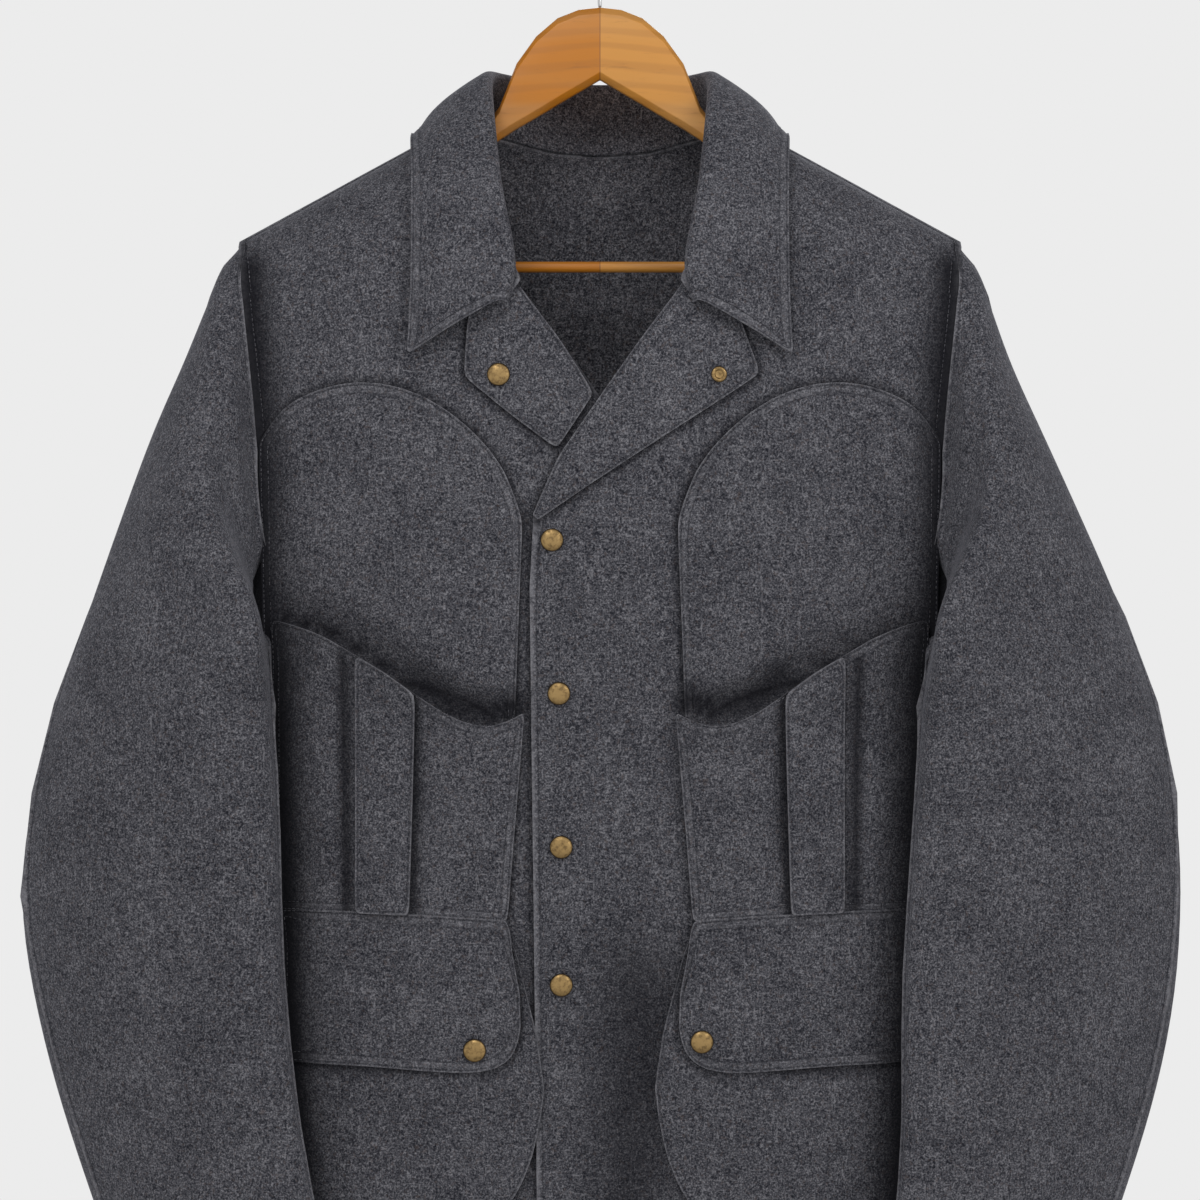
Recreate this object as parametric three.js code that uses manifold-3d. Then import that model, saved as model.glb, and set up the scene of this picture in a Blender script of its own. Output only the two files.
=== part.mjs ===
// Painter jacket of heavy grey wool, hanging from a plain wooden hanger.
// Millimetres, +Z up, the wearer's front faces -Y and the wearer's left is +X.
// The origin is the top of the hook's inside, where it rests on a rail.
import * as THREE from 'three';
import Module from 'manifold-3d';
import { mergeVertices } from 'three/addons/utils/BufferGeometryUtils.js';

// Cloth
const WALL = 2;
const SEAM_GAP = 0.3;
const LAYER_GAP = 0.8;
const SLEEVE_SEAM = 0.5;
const UNDERARM_SEAM = 1.2;
const LAYER = WALL + LAYER_GAP;
const OVERLAP_LIFT = LAYER + 0.8;
const OVERLAP_FULL = 47;
const OVERLAP_END = 112;
const LAPEL_TUCK = LAYER + 2;
const LAPEL_ROWS = 4;

// Body lengths, all measured down from the origin
const SHOULDER_PEAK = -86.6;
const SHOULDER_SLOPE = 0.545;
const SHOULDER_TIP = -218;
const UNDERARM = -445;
const HEM = -895;
const CROWN = 90;
const SIDE_ROUNDNESS = 2.6;
const NECK_HALF = 84;

// How the collar's edge leans off the ridge of the shoulder, how far its fall swells, and the
// share of the collar either side that gives its direction
const RIDGE_LEAN_X = 0.45;
const RIDGE_LEAN_Z = 0.9;
const FALL_SWELL = 4;
const ROLL_STEP = 0.02;

// Inner edge of the lower pockets: how far it stands off, and the share of the width it rises over
const POCKET_EDGE_LIFT = OVERLAP_LIFT + 0.6;
const POCKET_EDGE_FROM = 0.7;
const POCKET_EDGE_TO = 0.93;

// Rows and columns of the large panels
const CROWN_ROWS = 5;
const ARMHOLE_ROWS = 5;
const SKIRT_ROWS = 10;
const FRONT_COLUMNS = 12;
const BACK_COLUMNS = 22;

// Half width of the body and how far its front and back stand off the shoulder seam
const BODY_SECTIONS = [
  { z: -895, halfWidth: 241, front: 68, back: 58 },
  { z: -650, halfWidth: 234, front: 66, back: 56 },
  { z: -500, halfWidth: 233, front: 65, back: 56 },
  { z: -445, halfWidth: 236, front: 63, back: 56 },
  { z: -400, halfWidth: 249, front: 61, back: 55 },
  { z: -320, halfWidth: 262, front: 60, back: 54 },
  { z: -215, halfWidth: 275, front: 57, back: 54 },
  { z: -90, halfWidth: 285, front: 54, back: 54 },
];

// Distance of the armhole seam from the centre line, on the front and on the back
const ARMHOLE = [
  { z: -445, front: 236, back: 236 },
  { z: -430, front: 232, back: 233 },
  { z: -400, front: 227, back: 230 },
  { z: -355, front: 224, back: 227 },
  { z: -320, front: 227, back: 228 },
  { z: -281, front: 231, back: 231 },
  { z: -218, front: 238, back: 238 },
];

// Free edge of each front: neckline, then the roll of the lapel, then the straight edge past the centre
const FRONT_EDGE = [
  { z: -895, x: -40 },
  { z: -720, x: -42 },
  { z: -403, x: -46 },
  { z: -360, x: -27 },
  { z: -321, x: 0 },
  { z: -284, x: 26 },
  { z: -255, x: 48 },
  { z: -230, x: 64 },
  { z: -190, x: 77 },
  { z: -132, x: 84 },
];

// Neck seam of the back, from the centre to the shoulder seam
const BACK_NECK = [
  { x: 0, z: -154 },
  { x: 30, z: -152.5 },
  { x: 56, z: -147 },
  { x: 74, z: -140 },
  { x: 84, z: -132.4 },
];

// Soft folds: a ridge where depth is positive, a trough where it is negative
const FRONT_FOLDS = [
  { x: -203, top: -330, bottom: -900, width: 15, depth: -7 },
  { x: 199, top: -330, bottom: -900, width: 15, depth: -7 },
  { x: -128, top: -170, bottom: -330, width: 12, depth: -4 },
  { x: 130, top: -170, bottom: -320, width: 12, depth: -4 },
  { x: 12, top: -620, bottom: -1040, width: 34, depth: -5 },
  { x: -150, top: -760, bottom: -1020, width: 34, depth: 6 },
  { x: 140, top: -740, bottom: -1020, width: 38, depth: 5 },
];
const BACK_FOLDS = [
  { x: -118, top: -330, bottom: -1000, width: 24, depth: 8 },
  { x: -52, top: -470, bottom: -1030, width: 20, depth: -6 },
  { x: 18, top: -380, bottom: -1010, width: 26, depth: 7 },
  { x: 84, top: -500, bottom: -1000, width: 18, depth: -7 },
  { x: 142, top: -350, bottom: -980, width: 26, depth: 8 },
  { x: -178, top: -300, bottom: -800, width: 16, depth: -5 },
];

// Sleeves: the outer and inner point of each ring, for the wearer's right (R) and left (L) arm,
// how far forward both points lie, half the depth, and where the back seam runs round the ring
const SLEEVE_RINGS = [
  {
    outR: 250, outL: 249, outY: -1, outZ: -232,
    inR: 243, inL: 243, inY: -3, inZ: -450, depth: 41, seam: -4,
  },
  {
    outR: 258, outL: 257, outY: -3, outZ: -251,
    inR: 245, inL: 245, inY: -7, inZ: -458, depth: 50, seam: -8,
  },
  {
    outR: 272, outL: 268, outY: -7, outZ: -292,
    inR: 239, inL: 239, inY: -28, inZ: -473, depth: 54, seam: -14,
  },
  {
    outR: 292, outL: 288, outY: -12, outZ: -335,
    inR: 224, inL: 223, inY: -60, inZ: -493, depth: 51, seam: -18,
  },
  {
    outR: 315, outL: 317, outY: -14, outZ: -398,
    inR: 212, inL: 207, inY: -75, inZ: -521, depth: 46, seam: -16,
  },
  {
    outR: 338, outL: 346, outY: -16, outZ: -463,
    inR: 207, inL: 203, inY: -78, inZ: -562, depth: 42, seam: -8,
  },
  {
    outR: 358, outL: 366, outY: -16, outZ: -520,
    inR: 205, inL: 200, inY: -79, inZ: -602, depth: 40, seam: 4,
  },
  {
    outR: 374, outL: 380, outY: -16, outZ: -578,
    inR: 204, inL: 197, inY: -79, inZ: -645, depth: 38, seam: 14,
  },
  {
    outR: 384, outL: 384, outY: -14, outZ: -645,
    inR: 202, inL: 194, inY: -80, inZ: -692, depth: 37, seam: 20,
  },
  {
    outR: 374, outL: 380, outY: -14, outZ: -710,
    inR: 198, inL: 193, inY: -81, inZ: -738, depth: 36, seam: 24,
  },
  {
    outR: 358, outL: 367, outY: -19, outZ: -772,
    inR: 192, inL: 193, inY: -86, inZ: -785, depth: 33, seam: 26,
  },
  {
    outR: 340, outL: 350, outY: -25, outZ: -824,
    inR: 184, inL: 190, inY: -92, inZ: -828, depth: 31, seam: 27,
  },
  {
    outR: 325, outL: 335, outY: -29, outZ: -868,
    inR: 176, inL: 186, inY: -97, inZ: -866, depth: 30, seam: 27,
  },
];

// Collar, from the centre of the back round to the front point: seam on the neckline,
// the roll, and the outer edge of the fall; tuck 1 lies inside the body's wall and -1 on the lapel
const COLLAR_ROWS = [
  { seamX: 0, seamZ: -154, tuck: 1, rollX: 0, rollY: 57, rollZ: -108, edgeX: 0, edgeZ: -186 },
  { seamX: 30, seamZ: -152.5, tuck: 1, rollX: 27, rollY: 55, rollZ: -107, edgeX: 46, edgeZ: -186 },
  { seamX: 56, seamZ: -147, tuck: 1, rollX: 50, rollY: 43, rollZ: -105, edgeX: 88, edgeZ: -184 },
  { seamX: 74, seamZ: -140, tuck: 1, rollX: 66, rollY: 24, rollZ: -104, edgeX: 112, edgeZ: -171 },
  { seamX: 83.9, seamZ: -132.4, tuck: 1, rollX: 73, rollY: 2, rollZ: -106, edgeX: 119, edgeZ: -151.5 },
  { seamX: 83, seamZ: -145, tuck: 1, rollX: 72, rollY: -22, rollZ: -122, edgeX: 120, edgeZ: -168 },
  { seamX: 80, seamZ: -170, tuck: 1, rollX: 69, rollY: -44, rollZ: -150, edgeX: 121, edgeZ: -196 },
  { seamX: 77, seamZ: -190, tuck: 1, rollX: 65, rollY: -60, rollZ: -184, edgeX: 121.5, edgeZ: -226 },
  { seamX: 70, seamZ: -210, tuck: 0.6, rollX: 59, rollY: -67, rollZ: -214, edgeX: 122, edgeZ: -252 },
  { seamX: 69, seamZ: -222, tuck: -0.6, rollX: 55.5, rollY: -70, rollZ: -238, edgeX: 123, edgeZ: -276 },
  { seamX: 70, seamZ: -246, tuck: -1, rollX: 61, rollY: -70, rollZ: -260, edgeX: 124, edgeZ: -294 },
];
const COLLAR_RIDGE_ROW = 4;
const COLLAR_STEPS = 20;
const COLLAR_ROLL = 3.6;
const COLLAR_CLEAR = 6;
const COLLAR_INSET = 2.4;

// Lapels turned back on the fronts: roll points and outer points, from the collar down
const LAPEL_OVER = [
  { rollX: 62, rollZ: -233, outX: 82, outZ: -246 },
  { rollX: 57, rollZ: -242, outX: 92, outZ: -275 },
  { rollX: 48, rollZ: -255, outX: 103.5, outZ: -306 },
  { rollX: 26, rollZ: -284, outX: 78, outZ: -323 },
  { rollX: 0, rollZ: -321, outX: 30, outZ: -354 },
  { rollX: -27, rollZ: -360, outX: -8, outZ: -379 },
  { rollX: -43.5, rollZ: -397.5, outX: -40, outZ: -401 },
];
const LAPEL_UNDER = [
  { rollX: 62, rollZ: -233, outX: 80, outZ: -246 },
  { rollX: 57, rollZ: -242, outX: 86, outZ: -275 },
  { rollX: 48, rollZ: -255, outX: 88, outZ: -308 },
  { rollX: 26, rollZ: -284, outX: 60, outZ: -331 },
  { rollX: 4, rollZ: -319, outX: 28, outZ: -355 },
];

// Pieces sewn on each front, as the distance from the centre line and the height of points
// along their upper and lower edge, from the side in towards the centre
const CHEST_PANEL = {
  upper: [
    { x: 222, z: -350 }, { x: 211, z: -334 }, { x: 196, z: -322 }, { x: 170, z: -313 }, { x: 142, z: -312.5 },
    { x: 112, z: -322 }, { x: 84, z: -342 }, { x: 62, z: -369 }, { x: 50, z: -402 },
  ],
  lower: [
    { x: 214, z: -655 }, { x: 199, z: -655 }, { x: 183, z: -655 }, { x: 160, z: -655 }, { x: 136, z: -655 },
    { x: 112, z: -655 }, { x: 88, z: -655 }, { x: 70, z: -655 }, { x: 60, z: -655 },
  ],
};
const BREAST_POCKET = {
  upper: [
    { x: 212, z: -466 }, { x: 198, z: -468 }, { x: 178, z: -475 }, { x: 156, z: -488 }, { x: 134, z: -501 },
    { x: 112, z: -517 }, { x: 92, z: -529 }, { x: 74, z: -534 }, { x: 60, z: -531 }, { x: 48.5, z: -525 },
  ],
  lower: [
    { x: 212, z: -652 }, { x: 198, z: -652 }, { x: 178, z: -652 }, { x: 158, z: -652.5 }, { x: 138, z: -653 },
    { x: 118, z: -654 }, { x: 100, z: -655 }, { x: 84, z: -656 }, { x: 72, z: -656.5 }, { x: 59.5, z: -657 },
  ],
};
const POCKET_GAPE = 11;
const PLEAT_FROM = 0.34;
const PLEAT_TO = 0.53;
const LOWER_POCKET = {
  upper: [
    { x: 208, z: -657.5 }, { x: 180, z: -657.5 }, { x: 150, z: -657.5 }, { x: 120, z: -658 },
    { x: 92, z: -658.5 }, { x: 70, z: -659 }, { x: 57, z: -672 }, { x: 49, z: -700 }, { x: 41, z: -732 },
  ],
  lower: [
    { x: 208, z: -868 }, { x: 182, z: -870 }, { x: 154, z: -871 }, { x: 124, z: -871 },
    { x: 98, z: -868 }, { x: 74, z: -858 }, { x: 55, z: -838 }, { x: 42, z: -806 }, { x: 36, z: -768 },
  ],
};
const POCKET_FLAP = {
  upper: [
    { x: 208, z: -653.5 }, { x: 180, z: -653.5 }, { x: 150, z: -654.5 }, { x: 120, z: -656 },
    { x: 90, z: -657.5 }, { x: 66, z: -659 }, { x: 59, z: -662 }, { x: 56, z: -682 }, { x: 51.5, z: -706 },
  ],
  lower: [
    { x: 208, z: -752 }, { x: 180, z: -753 }, { x: 150, z: -754 }, { x: 122, z: -756 },
    { x: 96, z: -757.5 }, { x: 78, z: -757 }, { x: 64, z: -753 }, { x: 54.5, z: -743 }, { x: 51, z: -728 },
  ],
};

// Press studs: place on the front, and how many layers of cloth they sit on
const STUD_SEAT = 0.5;
const STUD_RADIUS = 7.9;
const SOCKET_RADIUS = 5.6;
const FRONT_STUDS = [
  { x: -31, z: -414 },
  { x: -26.5, z: -513 },
  { x: -25, z: -612 },
  { x: -25, z: -701 },
];
const LAPEL_STUD = { x: -65.5, z: -307 };
const LAPEL_SOCKET = { x: 76.5, z: -307 };
const FLAP_STUDS = [
  { name: 'right', side: -1, x: 80.5, z: -743, raised: -0.3 },
  { name: 'left', side: 1, x: 65, z: -737, raised: 1.6 },
];

// Hanger: height of the wood's top and bottom edge and half its thickness, out from the centre
const HANGER_SECTIONS = [
  { x: 0, top: -62, bottom: -109.5, half: 7.5 },
  { x: 14, top: -63.5, bottom: -117.8, half: 7.5 },
  { x: 28, top: -69, bottom: -126, half: 7.5 },
  { x: 42, top: -81, bottom: -134.5, half: 7.5 },
  { x: 55, top: -99, bottom: -142, half: 7.5 },
  { x: 66, top: -127, bottom: -149, half: 7.5 },
  { x: 76, top: -140.5, bottom: -156, half: 7.5 },
  { x: 92, top: -142.2, bottom: -166, half: 8 },
  { x: 130, top: -162, bottom: -186, half: 9 },
  { x: 170, top: -184, bottom: -207, half: 9 },
  { x: 186, top: -192.8, bottom: -220, half: 9 },
  { x: 193, top: -196.8, bottom: -241, half: 9 },
  { x: 202, top: -206, bottom: -238, half: 8 },
];
const HANGER_CHAMFER = 4.5;
const BAR_RADIUS = 3.7;
const BAR_HALF_LENGTH = 195;
const BAR_HEIGHT = -233;
const HOOK_WIRE = 1.5;
const HOOK_INSIDE = 21;
const HOOK_STEM_BOTTOM = -61.7;
const HOOK_STEM_TOP = -53;
const HOOK_TURN_FROM = -68;
const HOOK_TURN_TO = 190;
const HOOK_TURN_STEP = 21.5;
const HOOK_STEPS = 28;

const wool = (colour) => new THREE.MeshStandardMaterial({ color: colour, roughness: 0.95, metalness: 0 });
const brass = new THREE.MeshStandardMaterial({ color: 0xa98a4f, roughness: 0.35, metalness: 1 });
const steel = new THREE.MeshStandardMaterial({ color: 0xb4b4b4, roughness: 0.3, metalness: 1 });
const wood = new THREE.MeshStandardMaterial({ color: 0xc9924f, roughness: 0.5, metalness: 0 });
const WOOL_BODY = 0x4b4b50;
const WOOL_PIECE = 0x505056;

const lerp = THREE.MathUtils.lerp;
const clamp = THREE.MathUtils.clamp;
const smoothstep = THREE.MathUtils.smoothstep;

const wasm = await Module();
wasm.setup();

// Value of a column between two rows of a table whose key column rises
function along(rows, key, at, column) {
  let upper = rows.findIndex((row) => row[key] >= at);
  if (upper === 0) return rows[0][column];
  if (upper < 0) return rows[rows.length - 1][column];
  const low = rows[upper - 1];
  const high = rows[upper];
  return lerp(low[column], high[column], (at - low[key]) / (high[key] - low[key]));
}

// Value of a column on a smooth curve through all rows, share 0 is the first row and 1 the last
function curveAt(rows, column, share) {
  const place = clamp(share, 0, 1) * (rows.length - 1);
  const index = Math.min(Math.floor(place), rows.length - 2);
  const local = place - index;
  const value = (offset) => rows[clamp(index + offset, 0, rows.length - 1)][column];
  const leave = (value(1) - value(-1)) / 2;
  const arrive = (value(2) - value(0)) / 2;
  const square = local * local;
  const cube = square * local;
  return (2 * cube - 3 * square + 1) * value(0) + (cube - 2 * square + local) * leave
    + (3 * square - 2 * cube) * value(1) + (cube - square) * arrive;
}

const shoulderHeight = (x) => SHOULDER_PEAK - SHOULDER_SLOPE * Math.abs(x);

function foldDepth(folds, x, z) {
  let depth = 0;
  for (const fold of folds) {
    const across = Math.exp(-(((x - fold.x) / fold.width) ** 2));
    const down = clamp((fold.top - z) / (fold.top - fold.bottom), 0, 1);
    depth += fold.depth * across * Math.sin(Math.PI * down);
  }
  return depth;
}

// Point of the body's outer face; face is -1 on the front and 1 on the back
function bodyPoint(face, x, z) {
  const halfWidth = along(BODY_SECTIONS, 'z', z, 'halfWidth');
  const across = Math.min(Math.abs(x) / halfWidth, 1);
  const side = (1 - across ** SIDE_ROUNDNESS) ** (1 / SIDE_ROUNDNESS);
  const drop = clamp(shoulderHeight(x) - z, 0, CROWN);
  const crown = Math.sqrt(1 - (1 - drop / CROWN) ** 2);
  const folds = face < 0 ? FRONT_FOLDS : BACK_FOLDS;
  const depth = along(BODY_SECTIONS, 'z', z, face < 0 ? 'front' : 'back');
  const reach = SEAM_GAP / 2 + (depth + foldDepth(folds, x, z)) * side * crown;
  return new THREE.Vector3(x, face * reach, z);
}

// The wearer's left front lies over the right one as far as their shared width
function frontPoint(side, x, z) {
  const point = bodyPoint(-1, x, z);
  const overlap = side > 0 ? 1 - smoothstep(x, OVERLAP_FULL, OVERLAP_END) : 0;
  point.y -= overlap * OVERLAP_LIFT;
  return point;
}

function frontNormal(side, x, z) {
  const step = 0.5;
  const across = frontPoint(side, x + step, z).sub(frontPoint(side, x - step, z));
  const down = frontPoint(side, x, z - step).sub(frontPoint(side, x, z + step));
  return down.cross(across).normalize();
}

function armholeX(face, z) {
  if (z < UNDERARM) return along(BODY_SECTIONS, 'z', z, 'halfWidth');
  return along(ARMHOLE, 'z', z, face < 0 ? 'front' : 'back');
}

// Height of each row of a panel under the top edge of its column
function rowHeight(row, top) {
  if (row <= CROWN_ROWS) {
    return top - CROWN * (1 - Math.cos((Math.PI / 2) * (row / CROWN_ROWS)));
  }
  if (row <= CROWN_ROWS + ARMHOLE_ROWS) {
    return lerp(top - CROWN, UNDERARM, (row - CROWN_ROWS) / ARMHOLE_ROWS);
  }
  return lerp(UNDERARM, HEM, (row - CROWN_ROWS - ARMHOLE_ROWS) / SKIRT_ROWS);
}

const PANEL_ROWS = CROWN_ROWS + ARMHOLE_ROWS + SKIRT_ROWS;
const ARMHOLE_END = CROWN_ROWS + ARMHOLE_ROWS;

// Grid of points from the top edge to the hem; xAt gives a column's place at a height
function panelGrid(columns, xAt, topAt, pointAt) {
  const grid = [];
  for (let row = 0; row <= PANEL_ROWS; row += 1) {
    const line = [];
    for (let column = 0; column <= columns; column += 1) {
      let z = rowHeight(row, SHOULDER_TIP);
      let x = xAt(column / columns, z);
      for (let pass = 0; pass < 12; pass += 1) {
        z = rowHeight(row, topAt(x));
        x = lerp(x, xAt(column / columns, z), 0.7);
      }
      line.push(pointAt(x, z));
    }
    grid.push(line);
  }
  return grid;
}

function gridTangent(points, index) {
  const last = points.length - 1;
  if (index === 0) {
    return points[1].clone().multiplyScalar(4).addScaledVector(points[0], -3).sub(points[Math.min(2, last)]);
  }
  if (index === last) {
    return points[last].clone().multiplyScalar(3).addScaledVector(points[last - 1], -4)
      .add(points[Math.max(last - 2, 0)]);
  }
  return points[index + 1].clone().sub(points[index - 1]);
}

// The grid moved along its own normals; outward tells which side is positive
function offsetGrid(grid, distance, outward) {
  const normals = grid.map((line, row) => line.map((point, column) => {
    const across = gridTangent(line, column);
    const down = gridTangent(grid.map((other) => other[column]), row);
    return across.cross(down).normalize();
  }));
  const middle = normals[Math.floor(grid.length / 2)][Math.floor(grid[0].length / 2)];
  const sign = Math.sign(middle.dot(outward)) * distance;
  return grid.map((line, row) => line.map((point, column) => (
    point.clone().addScaledVector(normals[row][column], sign))));
}

function solidVolume(points, faces) {
  let volume = 0;
  for (let index = 0; index < faces.length; index += 3) {
    const cross = points[faces[index + 1]].clone().cross(points[faces[index + 2]]);
    volume += points[faces[index]].dot(cross) / 6;
  }
  return volume;
}

function closedGeometry(points, faces) {
  if (solidVolume(points, faces) < 0) faces.reverse();
  const geometry = new THREE.BufferGeometry();
  const values = points.flatMap((point) => [point.x, point.y, point.z]);
  geometry.setAttribute('position', new THREE.Float32BufferAttribute(values, 3));
  geometry.setIndex(faces);
  geometry.computeVertexNormals();
  return geometry;
}

// Closed wall between two grids of the same size
function wallGeometry(outer, inner) {
  const rows = outer.length;
  const columns = outer[0].length;
  const place = (layer, row, column) => (layer * rows + row) * columns + column;
  const faces = [];
  const quad = (a, b, c, d) => faces.push(a, b, c, a, c, d);
  for (let row = 0; row < rows - 1; row += 1) {
    for (let column = 0; column < columns - 1; column += 1) {
      quad(place(0, row, column), place(0, row, column + 1),
        place(0, row + 1, column + 1), place(0, row + 1, column));
      quad(place(1, row, column), place(1, row + 1, column),
        place(1, row + 1, column + 1), place(1, row, column + 1));
    }
  }
  const rim = [];
  for (let column = 0; column < columns - 1; column += 1) {
    rim.push([0, column]);
  }
  for (let row = 0; row < rows - 1; row += 1) {
    rim.push([row, columns - 1]);
  }
  for (let column = columns - 1; column > 0; column -= 1) {
    rim.push([rows - 1, column]);
  }
  for (let row = rows - 1; row > 0; row -= 1) {
    rim.push([row, 0]);
  }
  rim.forEach(([row, column], index) => {
    const [nextRow, nextColumn] = rim[(index + 1) % rim.length];
    quad(place(0, nextRow, nextColumn), place(0, row, column),
      place(1, row, column), place(1, nextRow, nextColumn));
  });
  return closedGeometry([...outer.flat(), ...inner.flat()], faces);
}

// Closed solid through rings of the same number of points, with flat ends
function loftGeometry(rings) {
  const size = rings[0].length;
  const faces = [];
  for (let ring = 0; ring < rings.length - 1; ring += 1) {
    for (let index = 0; index < size; index += 1) {
      const next = (index + 1) % size;
      const a = ring * size + index;
      const b = ring * size + next;
      faces.push(a, b, b + size, a, b + size, a + size);
    }
  }
  const lastStart = (rings.length - 1) * size;
  for (let index = 1; index < size - 1; index += 1) {
    faces.push(0, index + 1, index);
    faces.push(lastStart, lastStart + index, lastStart + index + 1);
  }
  return closedGeometry(rings.flat(), faces);
}

const jacket = new THREE.Group();

function addPiece(name, geometry, material) {
  const mesh = new THREE.Mesh(geometry, material);
  mesh.name = name;
  jacket.add(mesh);
  return mesh;
}

// Fronts: from the free edge out to the armhole and the side seam
const frontGrids = {};
function buildFront(name, side) {
  const xAt = (share, z) => side * lerp(along(FRONT_EDGE, 'z', z, 'x'), armholeX(-1, z),
    Math.sin(share * (Math.PI / 2)));
  const outer = panelGrid(FRONT_COLUMNS, xAt, shoulderHeight, (x, z) => frontPoint(side, x, z));
  const inner = offsetGrid(outer, -WALL, new THREE.Vector3(0, -1, 0));
  for (const point of inner.flat()) {
    point.y = Math.min(point.y, -SEAM_GAP / 2);
  }
  frontGrids[name] = { outer, inner };
  addPiece(`front_${name}`, wallGeometry(outer, inner), wool(WOOL_BODY));
}

// Back: one piece between both armholes, cut out for the neck
function backTop(x) {
  if (Math.abs(x) >= NECK_HALF) return shoulderHeight(x);
  return along(BACK_NECK, 'x', Math.abs(x), 'z');
}
const backOuter = panelGrid(BACK_COLUMNS, (share, z) => -armholeX(1, z) * Math.cos(share * Math.PI),
  backTop, (x, z) => bodyPoint(1, x, z));
const backInner = offsetGrid(backOuter, -WALL, new THREE.Vector3(0, 1, 0));
for (const point of backInner.flat()) {
  point.y = Math.max(point.y, SEAM_GAP / 2);
}

// Sleeve: the first ring is the armhole seam, the others come from the table
const RING_HALF = ARMHOLE_END;
function sleeveRing(row, sideKey, side, share) {
  const out = new THREE.Vector3(side * row[`out${sideKey}`], row.outY, row.outZ);
  const inside = new THREE.Vector3(side * row[`in${sideKey}`], row.inY, row.inZ);
  const centre = out.clone().add(inside).multiplyScalar(0.5);
  const reach = out.clone().sub(inside).multiplyScalar(0.5);
  const angle = THREE.MathUtils.degToRad(share);
  return centre.addScaledVector(reach, Math.cos(angle))
    .add(new THREE.Vector3(0, -row.depth * Math.sin(angle), 0));
}

// Armhole seam of one panel, moved off the body by the seam's gap
function armholeSeam(grid, column, side, gap) {
  const seam = [];
  for (let row = 0; row <= ARMHOLE_END; row += 1) {
    const low = (row / ARMHOLE_END) ** 3;
    const away = new THREE.Vector3(side * gap, 0, 4 * SEAM_GAP * low);
    seam.push(grid[row][column].clone().add(away));
  }
  return seam;
}

// Inside point of a sleeve at a long seam, the same for both parts: straight in towards the ring's middle
function seamInside(rings, row, index, centre) {
  const point = rings[row][index];
  const next = rings[Math.min(row + 1, rings.length - 1)][index];
  const lengthwise = next.clone().sub(rings[row - 1][index]).normalize();
  const into = centre.clone().sub(point);
  into.addScaledVector(lengthwise, -into.dot(lengthwise)).normalize();
  return point.clone().addScaledVector(into, WALL);
}

// Part of a sleeve between its two long seams; front covers 0 to 180 degrees and back the rest
function buildSleeve(name, side, part) {
  const sideKey = side < 0 ? 'R' : 'L';
  const isFront = part === 'front';
  const panel = isFront ? frontGrids[name] : { outer: backOuter, inner: backInner };
  const backColumn = side < 0 ? 0 : BACK_COLUMNS;
  const column = isFront ? FRONT_COLUMNS : backColumn;
  const rings = [armholeSeam(panel.outer, column, side, SEAM_GAP)];
  for (const row of SLEEVE_RINGS) {
    const ring = [];
    for (let index = 0; index <= RING_HALF; index += 1) {
      const share = index / RING_HALF;
      const start = isFront ? row.seam : 360 + row.seam;
      ring.push(sleeveRing(row, sideKey, side, lerp(start, 180, share)));
    }
    rings.push(ring);
  }
  for (const ring of rings.slice(1)) {
    const last = ring.length - 1;
    ring[0].lerp(ring[1], SLEEVE_SEAM / ring[0].distanceTo(ring[1]));
    ring[last].lerp(ring[last - 1], UNDERARM_SEAM / ring[last].distanceTo(ring[last - 1]));
  }
  const outward = new THREE.Vector3(0, isFront ? -1 : 1, 0);
  const inner = offsetGrid(rings, -WALL, outward);
  inner[0] = armholeSeam(panel.inner, column, side, WALL);
  SLEEVE_RINGS.forEach((table, index) => {
    const row = index + 1;
    const centre = sleeveRing({ ...table, depth: 0 }, sideKey, side, 90);
    inner[row][0] = seamInside(rings, row, 0, centre);
    inner[row][RING_HALF] = seamInside(rings, row, RING_HALF, centre);
  });
  addPiece(`sleeve_${part}_${name}`, wallGeometry(rings, inner), wool(WOOL_BODY));
}

// A piece sewn on a front, ruled between its upper and lower edge and lifted off the front's points
function patchGrid(shape, side, columns, rows, liftAt) {
  const grid = [];
  for (let row = 0; row <= rows; row += 1) {
    const down = row / rows;
    const line = [];
    for (let column = 0; column <= columns; column += 1) {
      const share = column / columns;
      const x = side * lerp(curveAt(shape.upper, 'x', share), curveAt(shape.lower, 'x', share), down);
      const z = lerp(curveAt(shape.upper, 'z', share), curveAt(shape.lower, 'z', share), down);
      line.push(frontPoint(side, x, z).addScaledVector(frontNormal(side, x, z), liftAt(share, down)));
    }
    grid.push(line);
  }
  return grid;
}

function buildPatch(name, shape, side, columns, rows, liftAt) {
  const inner = patchGrid(shape, side, columns, rows, liftAt);
  const outer = patchGrid(shape, side, columns, rows, (share, down) => liftAt(share, down) + WALL);
  addPiece(name, wallGeometry(outer, inner), wool(WOOL_PIECE));
}

// Breast pockets stand open at the mouth and lie flat along their sewn edges
function pocketLift(share, down) {
  const gape = POCKET_GAPE * Math.sin(Math.PI * share) ** 0.7 * (1 - down) ** 1.6;
  return LAYER_GAP + LAYER + gape;
}

// Lower pockets stand off the front along their inner edge, over the edge of the fronts
function lowerPocketLift(share) {
  return LAYER_GAP + POCKET_EDGE_LIFT * smoothstep(share, POCKET_EDGE_FROM, POCKET_EDGE_TO);
}

function pleatShape() {
  const slice = (rows) => [0, 0.5, 1].map((step) => {
    const share = lerp(PLEAT_FROM, PLEAT_TO, step);
    return { x: curveAt(rows, 'x', share), z: curveAt(rows, 'z', share) };
  });
  return { upper: slice(BREAST_POCKET.upper), lower: slice(BREAST_POCKET.lower) };
}

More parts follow.
